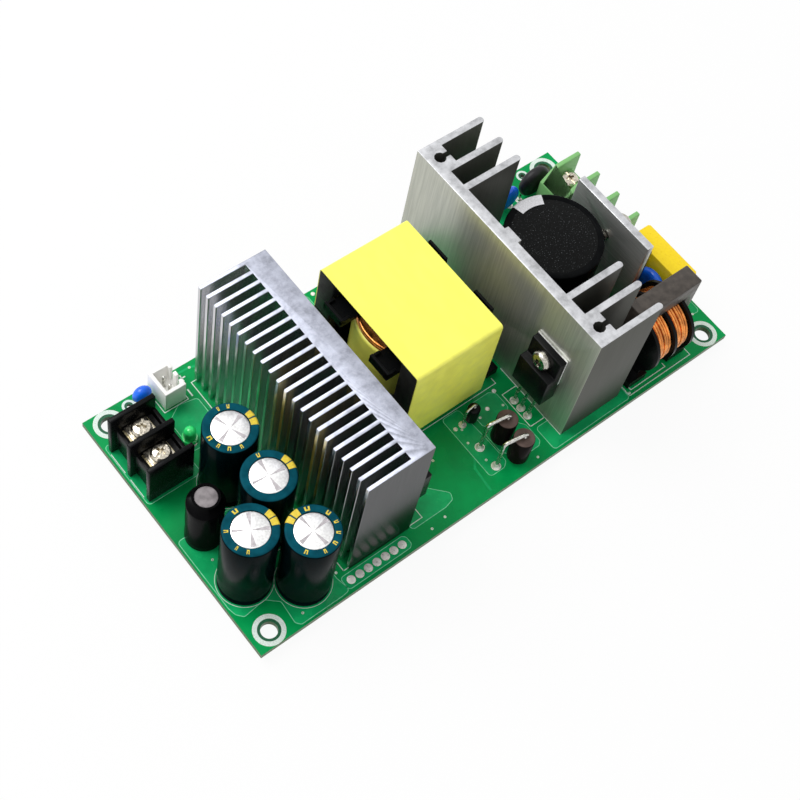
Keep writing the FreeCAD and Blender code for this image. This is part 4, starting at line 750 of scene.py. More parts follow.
# Bare pads in a row, bare pads on their own, joints soldered from above, and vias
SPARE_PADS = [(-46.5 + 2.475 * step, -32.3) for step in range(7)]
LOOSE_PADS = [(-2.1, -16.2), (0.2, -16.0), (8.0, -16.3), (12.65, -13.4), (-7.2, 33.8), (43.5, -30.6)]
TOP_JOINTS = [(-0.4, -23.3), (-0.4, -29.4), (15.2, -18.3), (15.2, -20.8), (15.2, -23.3)]
VIAS = [(-19.0, -32.6), (-2.0, -20.8), (-0.9, -17.2), (4.9, -17.2), (-1.3, -26.8), (11.9, -17.7),
        (-50.0, -29.3), (-53.4, -30.4), (-48.3, -29.0), (-60.2, -32.3), (-44.6, 33.5), (-23.4, -33.2),
        (9.6, -33.4), (40.6, -33.2), (-21.2, -21.4), (-12.0, -19.6), (-57.5, 31.4), (-49.6, 12.0),
        (-69.0, -10.4), (-48.2, -2.0), (-20.0, 33.6), (2.0, 33.2), (43.0, 26.0), (45.2, 21.4),
        (63.8, -31.0), (70.6, -25.4)]
# Outlines of copper under the mask, in millimetres from the board's centre
COPPER_AREAS = [
    [(-72.7, -22.0), (-72.3, -23.9), (-71.1, -25.3), (-65.3, -25.3), (-62.9, -27.5), (-62.7, -33.1),
     (-61.9, -34.1), (-50.6, -34.1), (-48.6, -33.9), (-48.6, -30.2), (-48.2, -2.6), (-72.7, -2.6)],
    [(-48.2, -33.8), (-30.6, -33.8), (-29.9, -33.2), (-29.9, -31.4), (-30.6, -30.8), (-48.2, -30.8)],
    [(-27.1, -30.6), (-17.3, -30.6), (-14.8, -30.0), (-14.2, -28.6), (-17.2, -24.4), (-17.4, -14.0),
     (-22.4, -14.0), (-22.4, -20.0), (-27.1, -20.0)],
    [(-3.1, -12.6), (1.7, -12.6), (2.3, -24.2), (2.3, -29.6), (1.0, -30.6), (-3.1, -30.6)],
    [(3.2, -21.2), (9.8, -21.2), (12.8, -25.2), (12.8, -30.2), (11.8, -31.0), (7.0, -31.0), (3.2, -27.2)],
    [(4.2, -13.2), (11.2, -13.2), (12.4, -14.4), (12.4, -18.8), (10.6, -19.6), (4.2, -19.6)],
    [(-72.7, 9.0), (-58.6, 9.0), (-58.6, 22.0), (-60.0, 26.6), (-72.7, 26.6)],
    [(-56.6, 14.6), (-48.0, 14.6), (-48.0, 25.4), (-52.6, 26.2), (-56.6, 23.8)],
    [(14.6, -34.0), (39.6, -34.0), (39.6, -27.4), (14.6, -27.4)],
    [(43.6, 12.0), (57.4, 12.0), (57.4, 24.2), (52.4, 33.8), (43.6, 33.8)],
    [(20.4, 20.2), (42.6, 20.2), (42.6, 33.8), (20.4, 33.8)],
    [(62.8, -27.4), (66.8, -25.4), (72.7, -25.4), (72.7, -1.6), (62.8, -1.6)],
    [(-20.0, 25.0), (-9.0, 25.0), (-9.0, 34.0), (-20.0, 34.0)],
]
# Thin tracks: each a width and its points
TRACKS = [
    (0.5, [(-49.1, 33.7), (-44.6, 33.5), (-41.0, 32.4)]),
    (0.5, [(-47.2, 24.6), (-46.8, 19.0), (-48.8, 14.8)]),
    (0.5, [(6.2, -13.0), (12.0, -14.0), (12.9, -17.0)]), (0.5, [(40.6, -33.2), (43.5, -30.6)]),
    (0.6, [(-5.6, -33.4), (-5.0, -27.0), (-3.1, -24.6)]), (0.5, [(60.9, -31.4), (66.0, -29.2)]),
    (0.5, [(-56.4, 31.4), (-62.4, 28.6)]), (0.6, [(44.0, 9.0), (50.0, 9.0), (50.0, 12.0)]),
]
# Each lead's pad begins and ends this far outside the lead
LEAD_GAP, LEAD_PAD = 0.12, 0.7
# Radii of the pads in a row, of the single ones, and of a via's hole and pad
SPARE_PAD, LOOSE_PAD = 1.05, 0.55
VIA_HOLE, VIA_PAD = 0.14, 0.32
# Inner and outer radius of the bare laminate and of the print round the board's own holes
CORNER_RIM, CORNER_PRINT = (2.02, 2.72), (2.7, 3.8)
TOOLING_RIM, TOOLING_PRINT = (0.55, 1.1), (1.1, 1.7)
# Width of the paler line round masked copper
MASK_EDGE = 0.16
# Printed frames as their west, south, east and north sides, then printed lines
PRINTED_FRAMES = [(-46.6, -29.6, -23.5, 29.8), (13.6, -26.1, 18.2, -15.4), (40.1, -33.8, 61.4, -16.0)]
PRINTED_LINES = [
    [(18.2, -9.5), (18.2, -31.8)], [(14.4, -10.3), (14.4, -11.95), (-19.0, -11.95)],
    [(41.5, -31.0), (41.5, -32.7), (53.5, -32.7), (53.5, -31.6)], [(-72.65, 24.3), (-72.65, 18.7)],
    [(-72.65, 16.4), (-72.65, 11.2)], [(-56.4, 34.5), (-56.4, 26.5), (-49.7, 26.5), (-49.7, 28.0)],
]
# A plus and a minus beside the fan connector
PRINTED_SIGNS = [
    [(-48.6, 32.0), (-47.0, 32.0)], [(-47.8, 31.2), (-47.8, 32.8)], [(-48.4, 28.6), (-48.4, 26.8)],
]
SIGN_WIDTH = 0.36
# Centres of the rings printed round the output capacitors, and their inner and outer radius
CAN_OUTLINES = [(-66.0, -18.4), (-55.4, -26.2), (-55.4, -10.4), (-55.4, 3.6)]
CAN_OUTLINE = (6.58, 6.7)


def lead_feet():
    """Where each lead passes through the board, and its larger half width."""
    feet = []
    for node in LEAD_NODES:
        for low, high in solids_in(node, below=-1.0):
            half = (high - low) / 2
            feet.append((low.x + half.x, low.y + half.y, max(half.x, half.y)))
    return feet


def line(bm, points, width, high):
    """Strips along a line on the board, each a hair lower than the last, so that no two tops meet."""
    for index, (start, end) in enumerate(zip(points, points[1:])):
        strip(bm, start, end, width, BOARD_TOP, high - 0.005 * (index % 3))


class SUPPLY_OT_board(bpy.types.Operator):
    """Board finish, pads, solder joints, masked copper and printed outlines"""

    bl_idname = "supply.board"
    bl_label = "Board"

    def execute(self, context):
        paint("circuit_board", "board")
        self.pads()
        self.solder()
        self.copper()
        self.ink()
        return {"FINISHED"}

    def pads(self):
        """Tinned pads, the joints soldered from above, the vias, and bare laminate round the holes."""
        top = BOARD_TOP + size("copper_lift") + 0.02
        bm = bmesh.new()
        for x, y, half in lead_feet():
            ring(bm, x, y, half + LEAD_GAP, half + LEAD_PAD, BOARD_TOP, top, 24)
        for places, radius in ((SPARE_PADS, SPARE_PAD), (LOOSE_PADS, LOOSE_PAD)):
            dome = [(0, BOARD_TOP), (radius, BOARD_TOP), (radius, top), (radius - 0.25, top + 0.03),
                    (0, top + 0.05)]
            for x, y in places:
                spun(bm, dome, (x, y, 0), steps=24)
        cone = [(0, BOARD_TOP), (1.05, BOARD_TOP), (1.05, top), (0.78, top + 0.3), (0.58, top + 0.75),
                (0.5, top + 1.2), (0, top + 1.2)]
        for x, y in TOP_JOINTS:
            spun(bm, cone, (x, y, 0), steps=24)
        for x, y in VIAS:
            ring(bm, x, y, VIA_HOLE, VIA_PAD, BOARD_TOP, top, 12)
        finish_piece("solder_pads", bm, "tin", "tinned_lead")
        bm = bmesh.new()
        for x, y in CORNER_HOLES:
            ring(bm, x, y, *CORNER_RIM, BOARD_TOP, top - 0.03)
        for x, y in TOOLING_HOLES:
            ring(bm, x, y, *TOOLING_RIM, BOARD_TOP, top - 0.03, 24)
        finish_piece("hole_rims", bm, "laminate", "board")

    def solder(self):
        """A fillet of solder climbs each lead under the board."""
        bm = bmesh.new()
        for x, y, half in lead_feet():
            lead, pad = half + 0.05, half + 0.75
            profile = [(0, 0), (pad, 0), (pad, -0.08)]
            profile += arc((pad, -1.15), pad - lead, 90, 180, 5)[1:]
            profile += [(0, -1.2)]
            spun(bm, profile, (x, y, 0), steps=20)
        finish_piece("solder_joints", bm, "tin", "tinned_lead")

    def copper(self):
        """Copper a hair above the laminate, with a paler line where the mask thins at its edge."""
        top = BOARD_TOP + size("copper_lift")
        bm = bmesh.new()
        for outline in COPPER_AREAS:
            laid_shape(bm, rounded(outline, 0.7), BOARD_TOP, top, MASK_EDGE)
        for width, points in TRACKS:
            line(bm, points, width, top - 0.015)
        finish_piece("masked_copper_areas", bm, ("copper", "copper_edge"), "board")

    def ink(self):
        """Outlines of the parts, the two signs, and rings round the holes and the output capacitors."""
        top = BOARD_TOP + size("copper_lift") + size("print_lift")
        frames = [[(west, south), (east, south), (east, north), (west, north), (west, south)]
                  for west, south, east, north in PRINTED_FRAMES]
        bm = bmesh.new()
        for points in frames + PRINTED_LINES:
            line(bm, points, size("print_width"), top)
        for points in PRINTED_SIGNS:
            line(bm, points, SIGN_WIDTH, top)
        for x, y in CORNER_HOLES:
            ring(bm, x, y, *CORNER_PRINT, BOARD_TOP, top)
        for x, y in TOOLING_HOLES:
            ring(bm, x, y, *TOOLING_PRINT, BOARD_TOP, top, 24)
        for x, y in CAN_OUTLINES:
            ring(bm, x, y, *CAN_OUTLINE, BOARD_TOP, top, 48)
        finish_piece("printed_outlines", bm, "ink", "board")


# Heat sinks and their screws

HEAD_DOWN = Matrix.Rotation(math.pi, 3, "X")
HEAD_ALONG_X = Matrix.Rotation(math.pi / 2, 3, "Y")
HEAD_AGAINST_X = Matrix.Rotation(-math.pi / 2, 3, "Y")
THREAD_PITCH = 0.5
# Screws taller than this hold a sink from under the board
LONG_SCREW = 8
# Left of the first place and right of the second, a part is clamped from the +X side of its sink
SWITCH_SIDE = (0, 40)
RECESS_TURN = 20
CLAMP_SCREW = {"head": 5.2, "height": 2.0, "shank": 2.7, "length": 6.4}


class SUPPLY_OT_heatsinks(bpy.types.Operator):
    """The comb sink, the finned sink with its keyways, and the plate behind the bulk capacitor"""

    bl_idname = "supply.heatsinks"
    bl_label = "Heat sinks"

    def execute(self, context):
        width = size("edge_ease")
        eased_node("output_heatsink", width, "comb", "sink_comb", segments=1)
        eased_node("input_heatsink", width, "fins", "sink_fins", over=60)
        eased_node("rectifier_heatsink", width, "plate", "sink_plate")
        return {"FINISHED"}


def screw_form(head, height, shank, length, slotted=False):
    """A pan head screw with a cross recess, its head up from zero and its threaded shank down."""
    radius = head / 2
    profile = [(0, height)]
    profile += [(radius * 0.45, height * 0.985), (radius * 0.78, height * 0.88)]
    profile += [(radius * 0.95, height * 0.66)]
    profile += [(radius, height * 0.42), (radius * 0.985, 0.06), (radius * 0.94, 0), (shank / 2, 0)]
    for turn in range(int(length / THREAD_PITCH)):
        z = -THREAD_PITCH * turn
        profile += [(shank / 2, z - 0.12), (shank / 2 - 0.22, z - 0.32)]
    profile += [(shank / 2 - 0.2, -length), (0, -length)]
    bm, cutter = bmesh.new(), bmesh.new()
    spun(bm, profile, (0, 0, 0), steps=36)
    reach, blade, depth = head * 0.32, head * 0.065, height * 0.62
    for angle in (RECESS_TURN, RECESS_TURN + 90):
        made = block(cutter, (-reach, -blade, height - depth), (reach, blade, height + depth))
        for vert in made:
            if vert.co.z < height:
                vert.co.x *= 0.45
        bmesh.ops.rotate(cutter, verts=made, matrix=turn_z(angle))
    if slotted:
        made = block(cutter, (-head * 0.6, -blade * 0.9, height * 0.75),
                     (head * 0.6, blade * 0.9, height * 1.25))
        bmesh.ops.rotate(cutter, verts=made, matrix=turn_z(RECESS_TURN))
    return carved(bm, cutter)


def place_screws(name, form, places, material, slot, node):
    """Copy one screw to each (x, y, z, turn)."""
    bm = bmesh.new()
    for x, y, z, turn in places:
        screw = form.copy()
        screw.transform(Matrix.Translation((x, y, z)) @ turn.to_4x4())
        join(bm, screw)
    form.free()
    finish_piece(name, bm, material, slot, node, smooth=30)


class SUPPLY_OT_screws(bpy.types.Operator):
    """Screws of the heat sinks and of the power parts clamped to them"""

    bl_idname = "supply.screws"
    bl_label = "Heat sink screws"

    def execute(self, context):
        places, head = [], CLAMP_SCREW["height"]
        for low, high in solids_in("heatsink_screws"):
            middle = (low + high) / 2
            if (high - low).z > LONG_SCREW:
                places.append((middle.x, middle.y, 0, HEAD_DOWN))
            elif SWITCH_SIDE[0] <= middle.x <= SWITCH_SIDE[1]:
                places.append((low.x + head, middle.y, middle.z, HEAD_AGAINST_X))
            else:
                places.append((high.x - head, middle.y, middle.z, HEAD_ALONG_X))
        form = screw_form(**CLAMP_SCREW)
        place_screws("heatsink_screws_finished", form, places, "screw", "screw_steel", "heatsink_screws")
        return {"FINISHED"}


# Transformer

# Half widths of the core's waist and of its legs' inner faces, and the slope between them
CORE_WAIST, CORE_LEG_FACE, WAIST_SLOPE = 9.4, 12.2, 1.2
# Thickness of the tape round the core
TAPE_WRAP = 0.2
# Thickness of the bobbin's top flange, then from the post's axis: where the wires' slot begins, the near
# and far sides of a tab across the core, and its inner and outer ends along it
FLANGE = 1.2
EXIT_SLOT = 10.2
TAB_NEAR, TAB_FAR, TAB_INNER, TAB_END = 5.2, 11.6, 13.0, 15.8
LIP_WIDTH, LIP_HEIGHT, LIP_ROOT = 0.7, 0.9, 0.3
END_LIP_WIDTH, END_LIP_HEIGHT = 0.8, 1.3
# Corners of the lug at the near end of one pin rail, from the post's axis
LUG_LOW, LUG_HIGH = (17.4, -15.0, 2.0), (20.8, -6.0, 4.4)
# Inner radius of the winding, height of its turns that show, and the laps of tape below them
BOBBIN_TUBE = 7.97
OPEN_TURNS = 1.8
TAPE_LAPS, LAP_STEP = 12, 0.12


def tape_band(bm, low, high, x, thickness, radius=0.7):
    """A band that runs round a block in the YZ plane, its corners rounded."""
    corners = ((high[0] - radius, high[1] - radius, 0), (low[0] + radius, high[1] - radius, 90),
               (low[0] + radius, low[1] + radius, 180), (high[0] - radius, low[1] + radius, 270))
    loops = []
    for side, grow in ((x[0], 0), (x[0], thickness), (x[1], thickness), (x[1], 0)):
        points = []
        for y, z, start in corners:
            points += arc((y, z), radius + grow, start, start + 90, 5)
        row = [bm.verts.new((side, y, z)) for y, z in points]
        loops.append([bm.edges.new(pair) for pair in zip(row, row[1:] + row[:1])])
    for first, second in zip(loops, loops[1:] + loops[:1]):
        bmesh.ops.bridge_loops(bm, edges=first + second)


def turns_profile(radius, low, high, wire, uneven=0.0):
    """Half-round bumps of a wound layer, from low to high, some turns riding higher than others."""
    count = max(1, round((high - low) / wire))
    pitch = (high - low) / count
    points = []
    for turn in range(count):
        ride = uneven * math.sin(2.3 * turn + 0.7)
        points += arc((radius - pitch / 2 + ride, low + pitch * (turn + 0.5)), pitch / 2, -80, 80, 5)
    return points


class SUPPLY_OT_transformer(bpy.types.Operator):
    """Ferrite halves, bobbin, winding under its tape, and the tape round the core"""

    bl_idname = "supply.transformer"
    bl_label = "Transformer"

    def execute(self, context):
        self.core()
        self.bobbin()
        self.winding()
        low, high, _ = node_box("transformer_tape")
        bm = bmesh.new()
        tape_band(bm, (low.y + TAPE_WRAP, low.z + TAPE_WRAP), (high.y - TAPE_WRAP, high.z - TAPE_WRAP),
                  (low.x + 0.15, high.x - 0.15), TAPE_WRAP)
        finish_piece("transformer_tape_wrap", bm, "tape", "yellow_tape", "transformer_tape", smooth=40)
        eased_node("transformer_pins", 0.08, "lead", "tinned_lead", segments=1)
        return {"FINISHED"}

    def core(self):
        """Each plate is waisted beside the round post, so the winding shows past it."""
        for node in ("transformer_core_upper", "transformer_core_lower"):
            low, high, middle = node_box(node)
            half = (high.x - low.x) / 2
            notch = [(CORE_WAIST, WAIST_SLOPE - CORE_LEG_FACE), (CORE_WAIST, CORE_LEG_FACE - WAIST_SLOPE),
                     (half, CORE_LEG_FACE), (half + 1, CORE_LEG_FACE), (half + 1, -CORE_LEG_FACE),
                     (half, -CORE_LEG_FACE)]
            cutter = bmesh.new()
            for side in (-1, 1):
                outline = [(middle.x + side * x, middle.y + y) for x, y in notch]
                laid_shape(cutter, outline, low.z - 1, high.z + 1)
            bm = carved(solid_of(node), cutter)
            ease(bm, size("mould_ease"), over=50)
            finish_piece(f"{node}_finished", bm, "ferrite", "ferrite", node)

    def bobbin(self):
        """The top flange has a slot where the wires leave, between tabs with raised lips."""
        _, high, middle = node_box("transformer_bobbin")
        top = high.z
        cutter = bmesh.new()
        for side in (-1, 1):
            inner, outer = sorted((middle.x + side * EXIT_SLOT, middle.x + side * (TAB_END + 3)))
            block(cutter, (inner, middle.y - TAB_NEAR, top - FLANGE - 0.02),
                  (outer, middle.y + TAB_NEAR, top + 1))
        bm = carved(solid_of("transformer_bobbin"), cutter)
        for side in (-1, 1):
            inner, outer = sorted((middle.x + side * TAB_INNER, middle.x + side * TAB_END))
            end = sorted((middle.x + side * (TAB_END - END_LIP_WIDTH), middle.x + side * TAB_END))
            for hand in (-1, 1):
                near, far = sorted((middle.y + hand * TAB_NEAR, middle.y + hand * TAB_FAR))
                block(bm, (end[0], near, top - LIP_ROOT), (end[1], far, top + END_LIP_HEIGHT), 0.1, 1)
                for edge in (near, far - LIP_WIDTH):
                    block(bm, (inner, edge, top - LIP_ROOT), (outer, edge + LIP_WIDTH, top + LIP_HEIGHT),
                          0.1, 1)
        axis = Vector((*middle.xy, 0))
        block(bm, axis + Vector(LUG_LOW), axis + Vector(LUG_HIGH), 0.15, 1)
        finish_piece("transformer_bobbin_finished", bm, "bobbin", "bobbin_plastic", "transformer_bobbin")

    def winding(self):
        """Copper shows in the last turns, above the tape that covers the rest."""
        low, high, middle = node_box("transformer_winding")
        axis, radius, split = (*middle.xy, 0), high.x - middle.x, high.z - OPEN_TURNS
        profile = [(BOBBIN_TUBE, split), (radius - 0.9, split)]
        profile += turns_profile(radius - 0.3, split, high.z, size("transformer_wire"))
        profile += [(radius - 0.9, high.z), (BOBBIN_TUBE, high.z), (BOBBIN_TUBE, split)]
        turned_piece("transformer_turns", profile, axis, "wire", "winding_copper", steps=96, smooth=60)
        profile = [(BOBBIN_TUBE, low.z), (radius - 0.3, low.z), (radius, low.z + 0.3)]
        for lap in range(1, TAPE_LAPS):
            profile.append((radius - LAP_STEP * (lap % 2), low.z + (split - low.z) * lap / TAPE_LAPS))
        profile += [(radius, split - 0.3), (radius - 0.3, split), (BOBBIN_TUBE, split), (BOBBIN_TUBE, low.z)]
        turned_piece("transformer_winding_tape", profile, axis, "tape", "yellow_tape", "transformer_winding",
                     steps=96, smooth=60)


# Capacitors

# For each output capacitor: the turn of its vent, and its rim marks, each an angle, a half width and
# whether it runs down the side
CAN_MARKS = {
    1: (52, [(-15, 9, True), (6, 9, True), (93, 8, False), (150, 4, False), (200, 3, False),
             (228, 4, False)]),
    2: (-2, [(98, 9, True), (119, 8, True), (69, 8, False), (17, 6, False), (-12, 4, False), (-40, 4, False),
             (-68, 5, False), (-100, 4, False), (215, 5, False)]),
    3: (75, [(-9, 8, True), (11, 9, True), (80, 5, False)]),
    4: (10, [(-18, 9, True), (3, 8, True), (176, 7, False), (205, 4, False), (232, 5, False), (262, 4, False),
             (60, 4, False), (85, 3, False)]),
}
# Depth of the sleeve's rim, drop to the can's end inside it, and the bend where the sleeve folds over
SLEEVE_RIM, VENT_DROP, SLEEVE_FOLD = 1.9, 0.3, 0.6
BULK_RIM, BULK_DROP = 1.5, 0.15
# Ink stands this far off the sleeve
INK_LIFT = 0.03


def round_leads(node):
    """Round wires in place of a node's straight leads."""
    bm = bmesh.new()
    tip = 0.15
    for low, high in solids_in(node):
        middle, radius = (low + high) / 2, (high.x - low.x) / 2
        profile = [(0, low.z), (radius - tip, low.z), (radius, low.z + tip), (radius, high.z), (0, high.z)]
        spun(bm, profile, (*middle.xy, 0), steps=16)
    finish_piece(f"{node}_round", bm, "lead", "tinned_lead", node)


def printed_patch(bm, profile, middle, angle, half_angle):
    """Ink on a round can: a profile swept through a few degrees and given a thickness."""
    part = bmesh.new()
    verts = [part.verts.new((radius, 0, height)) for radius, height in profile]
    edges = [part.edges.new(pair) for pair in zip(verts, verts[1:])]
    bmesh.ops.rotate(part, verts=verts, matrix=turn_z(angle - half_angle))
    bmesh.ops.spin(part, geom=verts + edges, cent=(0, 0, 0), axis=(0, 0, 1),
                   angle=math.radians(2 * half_angle), steps=max(3, round(half_angle / 2)), use_merge=False,
                   use_duplicate=False)
    bmesh.ops.recalc_face_normals(part, faces=part.faces)
    bmesh.ops.solidify(part, geom=part.faces[:], thickness=INK_LIFT)
    bmesh.ops.translate(part, vec=(*middle.xy, 0), verts=part.verts)
    join(bm, part)


class SUPPLY_OT_capacitors(bpy.types.Operator):
    """The bulk capacitor and the four output capacitors, with sleeves, rims and vented tops"""

    bl_idname = "supply.capacitors"
    bl_label = "Electrolytic capacitors"

    def execute(self, context):
        self.bulk()
        for number in CAN_MARKS:
            self.output(number)
        round_leads("bulk_capacitor_leads")
        round_leads("output_capacitor_leads")
        return {"FINISHED"}

    def bulk(self):
        """The sleeve folds over the rim round a fibre disc, and has one pale stripe."""
        low, high, middle = node_box("bulk_capacitor")
        axis, radius, fold = (*middle.xy, 0), (high.x - low.x) / 2, SLEEVE_FOLD
        rim, top = radius - BULK_RIM, high.z - BULK_DROP
        profile = [(0, low.z), (radius - 0.8, low.z)] + arc((radius - 0.6, low.z + 0.6), 0.6, -90, 0, 4)
        profile += [(radius, low.z + 2.4), (radius - 0.35, low.z + 3.0), (radius, low.z + 3.6)]
        profile += arc((radius - fold, high.z - fold), fold, 0, 90, 6)
        profile += [(rim, high.z - 0.03), (rim - 0.1, top), (0, top)]
        turned_piece("bulk_capacitor_sleeve", profile, axis, "bulk_sleeve", "bulk_sleeve", "bulk_capacitor",
                     steps=96)
        disc = [(0, top + 0.05), (rim - 0.4, top + 0.05), (rim - 0.2, top), (0, top)]
        turned_piece("bulk_capacitor_top", disc, axis, "bulk_top", "bulk_sleeve", steps=96, smooth=35)
        bm = bmesh.new()
        side = [(radius - 3.1, high.z + INK_LIFT)]
        side += arc((radius - fold, high.z - fold), fold + INK_LIFT, 90, 0, 5)
        side += [(radius + INK_LIFT, low.z + 4.0)]
        printed_patch(bm, side, middle, 84, 20)
        finish_piece("bulk_capacitor_stripe", bm, "bulk_print", "bulk_sleeve", smooth=50)

    def output(self, number):
        """A sleeved can with its crimped foot, its vented end, and the marks on its rim."""
        node = f"output_capacitor_{number}"
        vent_turn, marks = CAN_MARKS[number]
        low, high, middle = node_box(node)
        radius, fold = (high.x - low.x) / 2, SLEEVE_FOLD
        rim, top = radius - SLEEVE_RIM, high.z - VENT_DROP
        profile = [(0, low.z), (radius - 0.5, low.z)] + arc((radius - 0.4, low.z + 0.4), 0.4, -90, 0, 3)
        profile += [(radius, low.z + 1.6), (radius - 0.25, low.z + 2.0), (radius, low.z + 2.4)]
        profile += arc((radius - fold, high.z - fold), fold, 0, 90, 5)
        profile += [(rim, high.z - 0.06), (rim - 0.06, top), (0, top)]
        turned_piece(f"{node}_sleeve", profile, (*middle.xy, 0), "can_sleeve", "capacitor_sleeve", node)
        self.vent(node, middle, top, rim - 0.12, vent_turn)
        bm = bmesh.new()
        ink = high.z + 0.02
        for angle, half_angle, down in marks:
            if down:
                side = [(rim + 0.1, ink)] + arc((radius - fold, high.z - fold), fold + INK_LIFT, 90, 0, 4)
                side += [(radius + INK_LIFT, low.z + 3.0)]
                printed_patch(bm, side, middle, angle, half_angle)
            else:
                stroke = [(rim + 0.3, ink), (radius - fold, high.z + INK_LIFT)]
                for off in (-0.55, 0.55):
                    printed_patch(bm, stroke, middle, angle + off * half_angle, half_angle * 0.26)
                printed_patch(bm, [(rim + 0.3, ink), (rim + 0.6, ink)], middle, angle, half_angle * 0.8)
        finish_piece(f"{node}_print", bm, "can_print", "capacitor_sleeve", smooth=50)

    def vent(self, node, middle, low, radius, turn):
        """A cross is pressed in the can's end, and a grey wedge beside each arm is a painted darker
        reflection.
        """
        top = low + 0.14
        bm, cutter = bmesh.new(), bmesh.new()
        spun(bm, [(0, top), (radius - 0.15, top), (radius, top - 0.1), (radius, low), (0, low)],
             (*middle.xy, 0), steps=64)
        for angle in (turn, turn + 90):
            made = block(cutter, (-radius - 1, -0.1, top - 0.08), (radius + 1, 0.1, top + 0.08))
            bmesh.ops.rotate(cutter, verts=made, matrix=turn_z(angle))
            bmesh.ops.translate(cutter, vec=(*middle.xy, 0), verts=made)
        finish_piece(f"{node}_top", carved(bm, cutter), "vent", "capacitor_sleeve")
        # Thin grey wedges laid on the end beside each arm: painted darker reflection
        bm = bmesh.new()
        for angle, spread in ((turn, 15), (turn + 90, 12), (turn + 180, 18), (turn + 270, 14)):
            corners = [(0.25, 3.0), (radius - 0.25, 2.2), (radius - 0.25, 2.2 + spread)]
            outline = [polar(middle, far, angle + off) for far, off in corners]
            laid_shape(bm, outline, top - 0.02, top + 0.015)
        finish_piece(f"{node}_flanks", bm, "vent_flank", "capacitor_sleeve")


class SUPPLY_OT_inductor(bpy.types.Operator):
    """Output inductor: a ferrite rod in its sleeved winding"""

    bl_idname = "supply.inductor"
    bl_label = "Output inductor"

    def execute(self, context):
        low, high, middle = node_box("inductor_winding")
        outer, neck, rod, shoulder = (high.x - low.x) / 2, 3.3, 2.66, high.z - 3.0
        profile = [(rod, low.z), (outer - 0.3, low.z), (outer, low.z + 0.3), (outer, low.z + 2),
                   (outer - 0.12, low.z + 5), (outer, low.z + 9), (outer - 0.08, shoulder - 2)]
        profile += arc((outer - 0.9, shoulder - 0.2), 0.9, 0, 55, 4)
        profile += [(neck + 0.15, high.z - 0.9), (neck, high.z - 0.4), (neck - 0.1, high.z),
                    (rod, high.z - 0.02), (rod, low.z)]
        turned_piece("inductor_sleeve", profile, (*middle.xy, 0), "coil_sleeve", "inductor_sleeve",
                     "inductor_winding", steps=56, smooth=60)
        eased_node("inductor_core", 0.2, "rod_ferrite", "inductor_ferrite", name="inductor_rod")
        return {"FINISHED"}


# Terminals, connector and indicator

BLOCK_SCREW = {"head": 5.0, "height": 1.8, "shank": 2.9, "length": 5.4, "slotted": True}
WASHER_HOLE, WASHER_RIM, WASHER_THICKNESS = 1.55, 2.75, 0.55
# Clamp plates of the input terminals, from the screw's axis: back, front, half width and thickness
PLATE_BACK, PLATE_FRONT, PLATE_HALF, PLATE_THICKNESS = 4.6, 2.8, 2.7, 0.8
# How far the dividers' back corners are cut, down and forwards
DIVIDER_SLOPE = 4.4
# Dipped discs: node, finish, slot, axis of the disc, and its share of the solid's size
DISCS = (("safety_capacitor_far", "blue", "blue_epoxy", "Y", 1.0),
         ("safety_capacitor_near", "blue", "blue_epoxy", "X", 1.0),
         ("inrush_thermistor", "thermistor", "thermistor_coat", "Y", 0.9))
LENS_RADIUS = 1.5


class SUPPLY_OT_terminals(bpy.types.Operator):
    """Both screw terminal blocks with their screws, clamp plates and contacts"""

    bl_idname = "supply.terminals"
    bl_label = "Screw terminals"

    def execute(self, context):
        width = size("mould_ease")
        eased_node("output_terminal_block", width, "black", "terminal_black")
        self.input_block(width)
        places, washers = [], bmesh.new()
        for low, high in solids_in("terminal_screws"):
            x, y, _ = (low + high) / 2
            seat = high.z - BLOCK_SCREW["height"]
            top = seat + WASHER_THICKNESS
            ring(washers, x, y, WASHER_HOLE, WASHER_RIM, seat, top, 32)
            places.append((x, y, top, turn_z(31 * len(places))))
            if x > 0:
                block(washers, (x - PLATE_BACK, y - PLATE_HALF, seat - PLATE_THICKNESS),
                      (x + PLATE_FRONT, y + PLATE_HALF, seat), 0.15)
        form = screw_form(**BLOCK_SCREW)
        place_screws("terminal_screws_finished", form, places, "nickel", "terminal_steel", "terminal_screws")
        finish_piece("terminal_washers", washers, "nickel", "terminal_steel")
        eased_node("terminal_clamps", 0.12, "nickel", "terminal_steel")
        eased_node("terminal_contacts", 0.1, "contact", "contact_metal", segments=1)
        return {"FINISHED"}

    def input_block(self, width):
        """The dividers' back corners slope."""
        low, high, _ = node_box("input_terminal_block")
        cutter = bmesh.new()
        edge = [(low.x - 1, high.z - DIVIDER_SLOPE - 1), (low.x - 1, high.z + 1),
                (low.x + DIVIDER_SLOPE + 1, high.z + 1)]
        face = cutter.faces.new([cutter.verts.new((x, low.y - 1, z)) for x, z in edge])
        grown = bmesh.ops.extrude_face_region(cutter, geom=[face], use_keep_orig=True)
        moved = [item for item in grown["geom"] if isinstance(item, bmesh.types.BMVert)]
        bmesh.ops.translate(cutter, vec=(0, high.y - low.y + 2, 0), verts=moved)
        bm = carved(solid_of("input_terminal_block"), cutter)
        ease(bm, width)
        finish_piece("input_terminal_block_finished", bm, "sage", "terminal_green", "input_terminal_block")


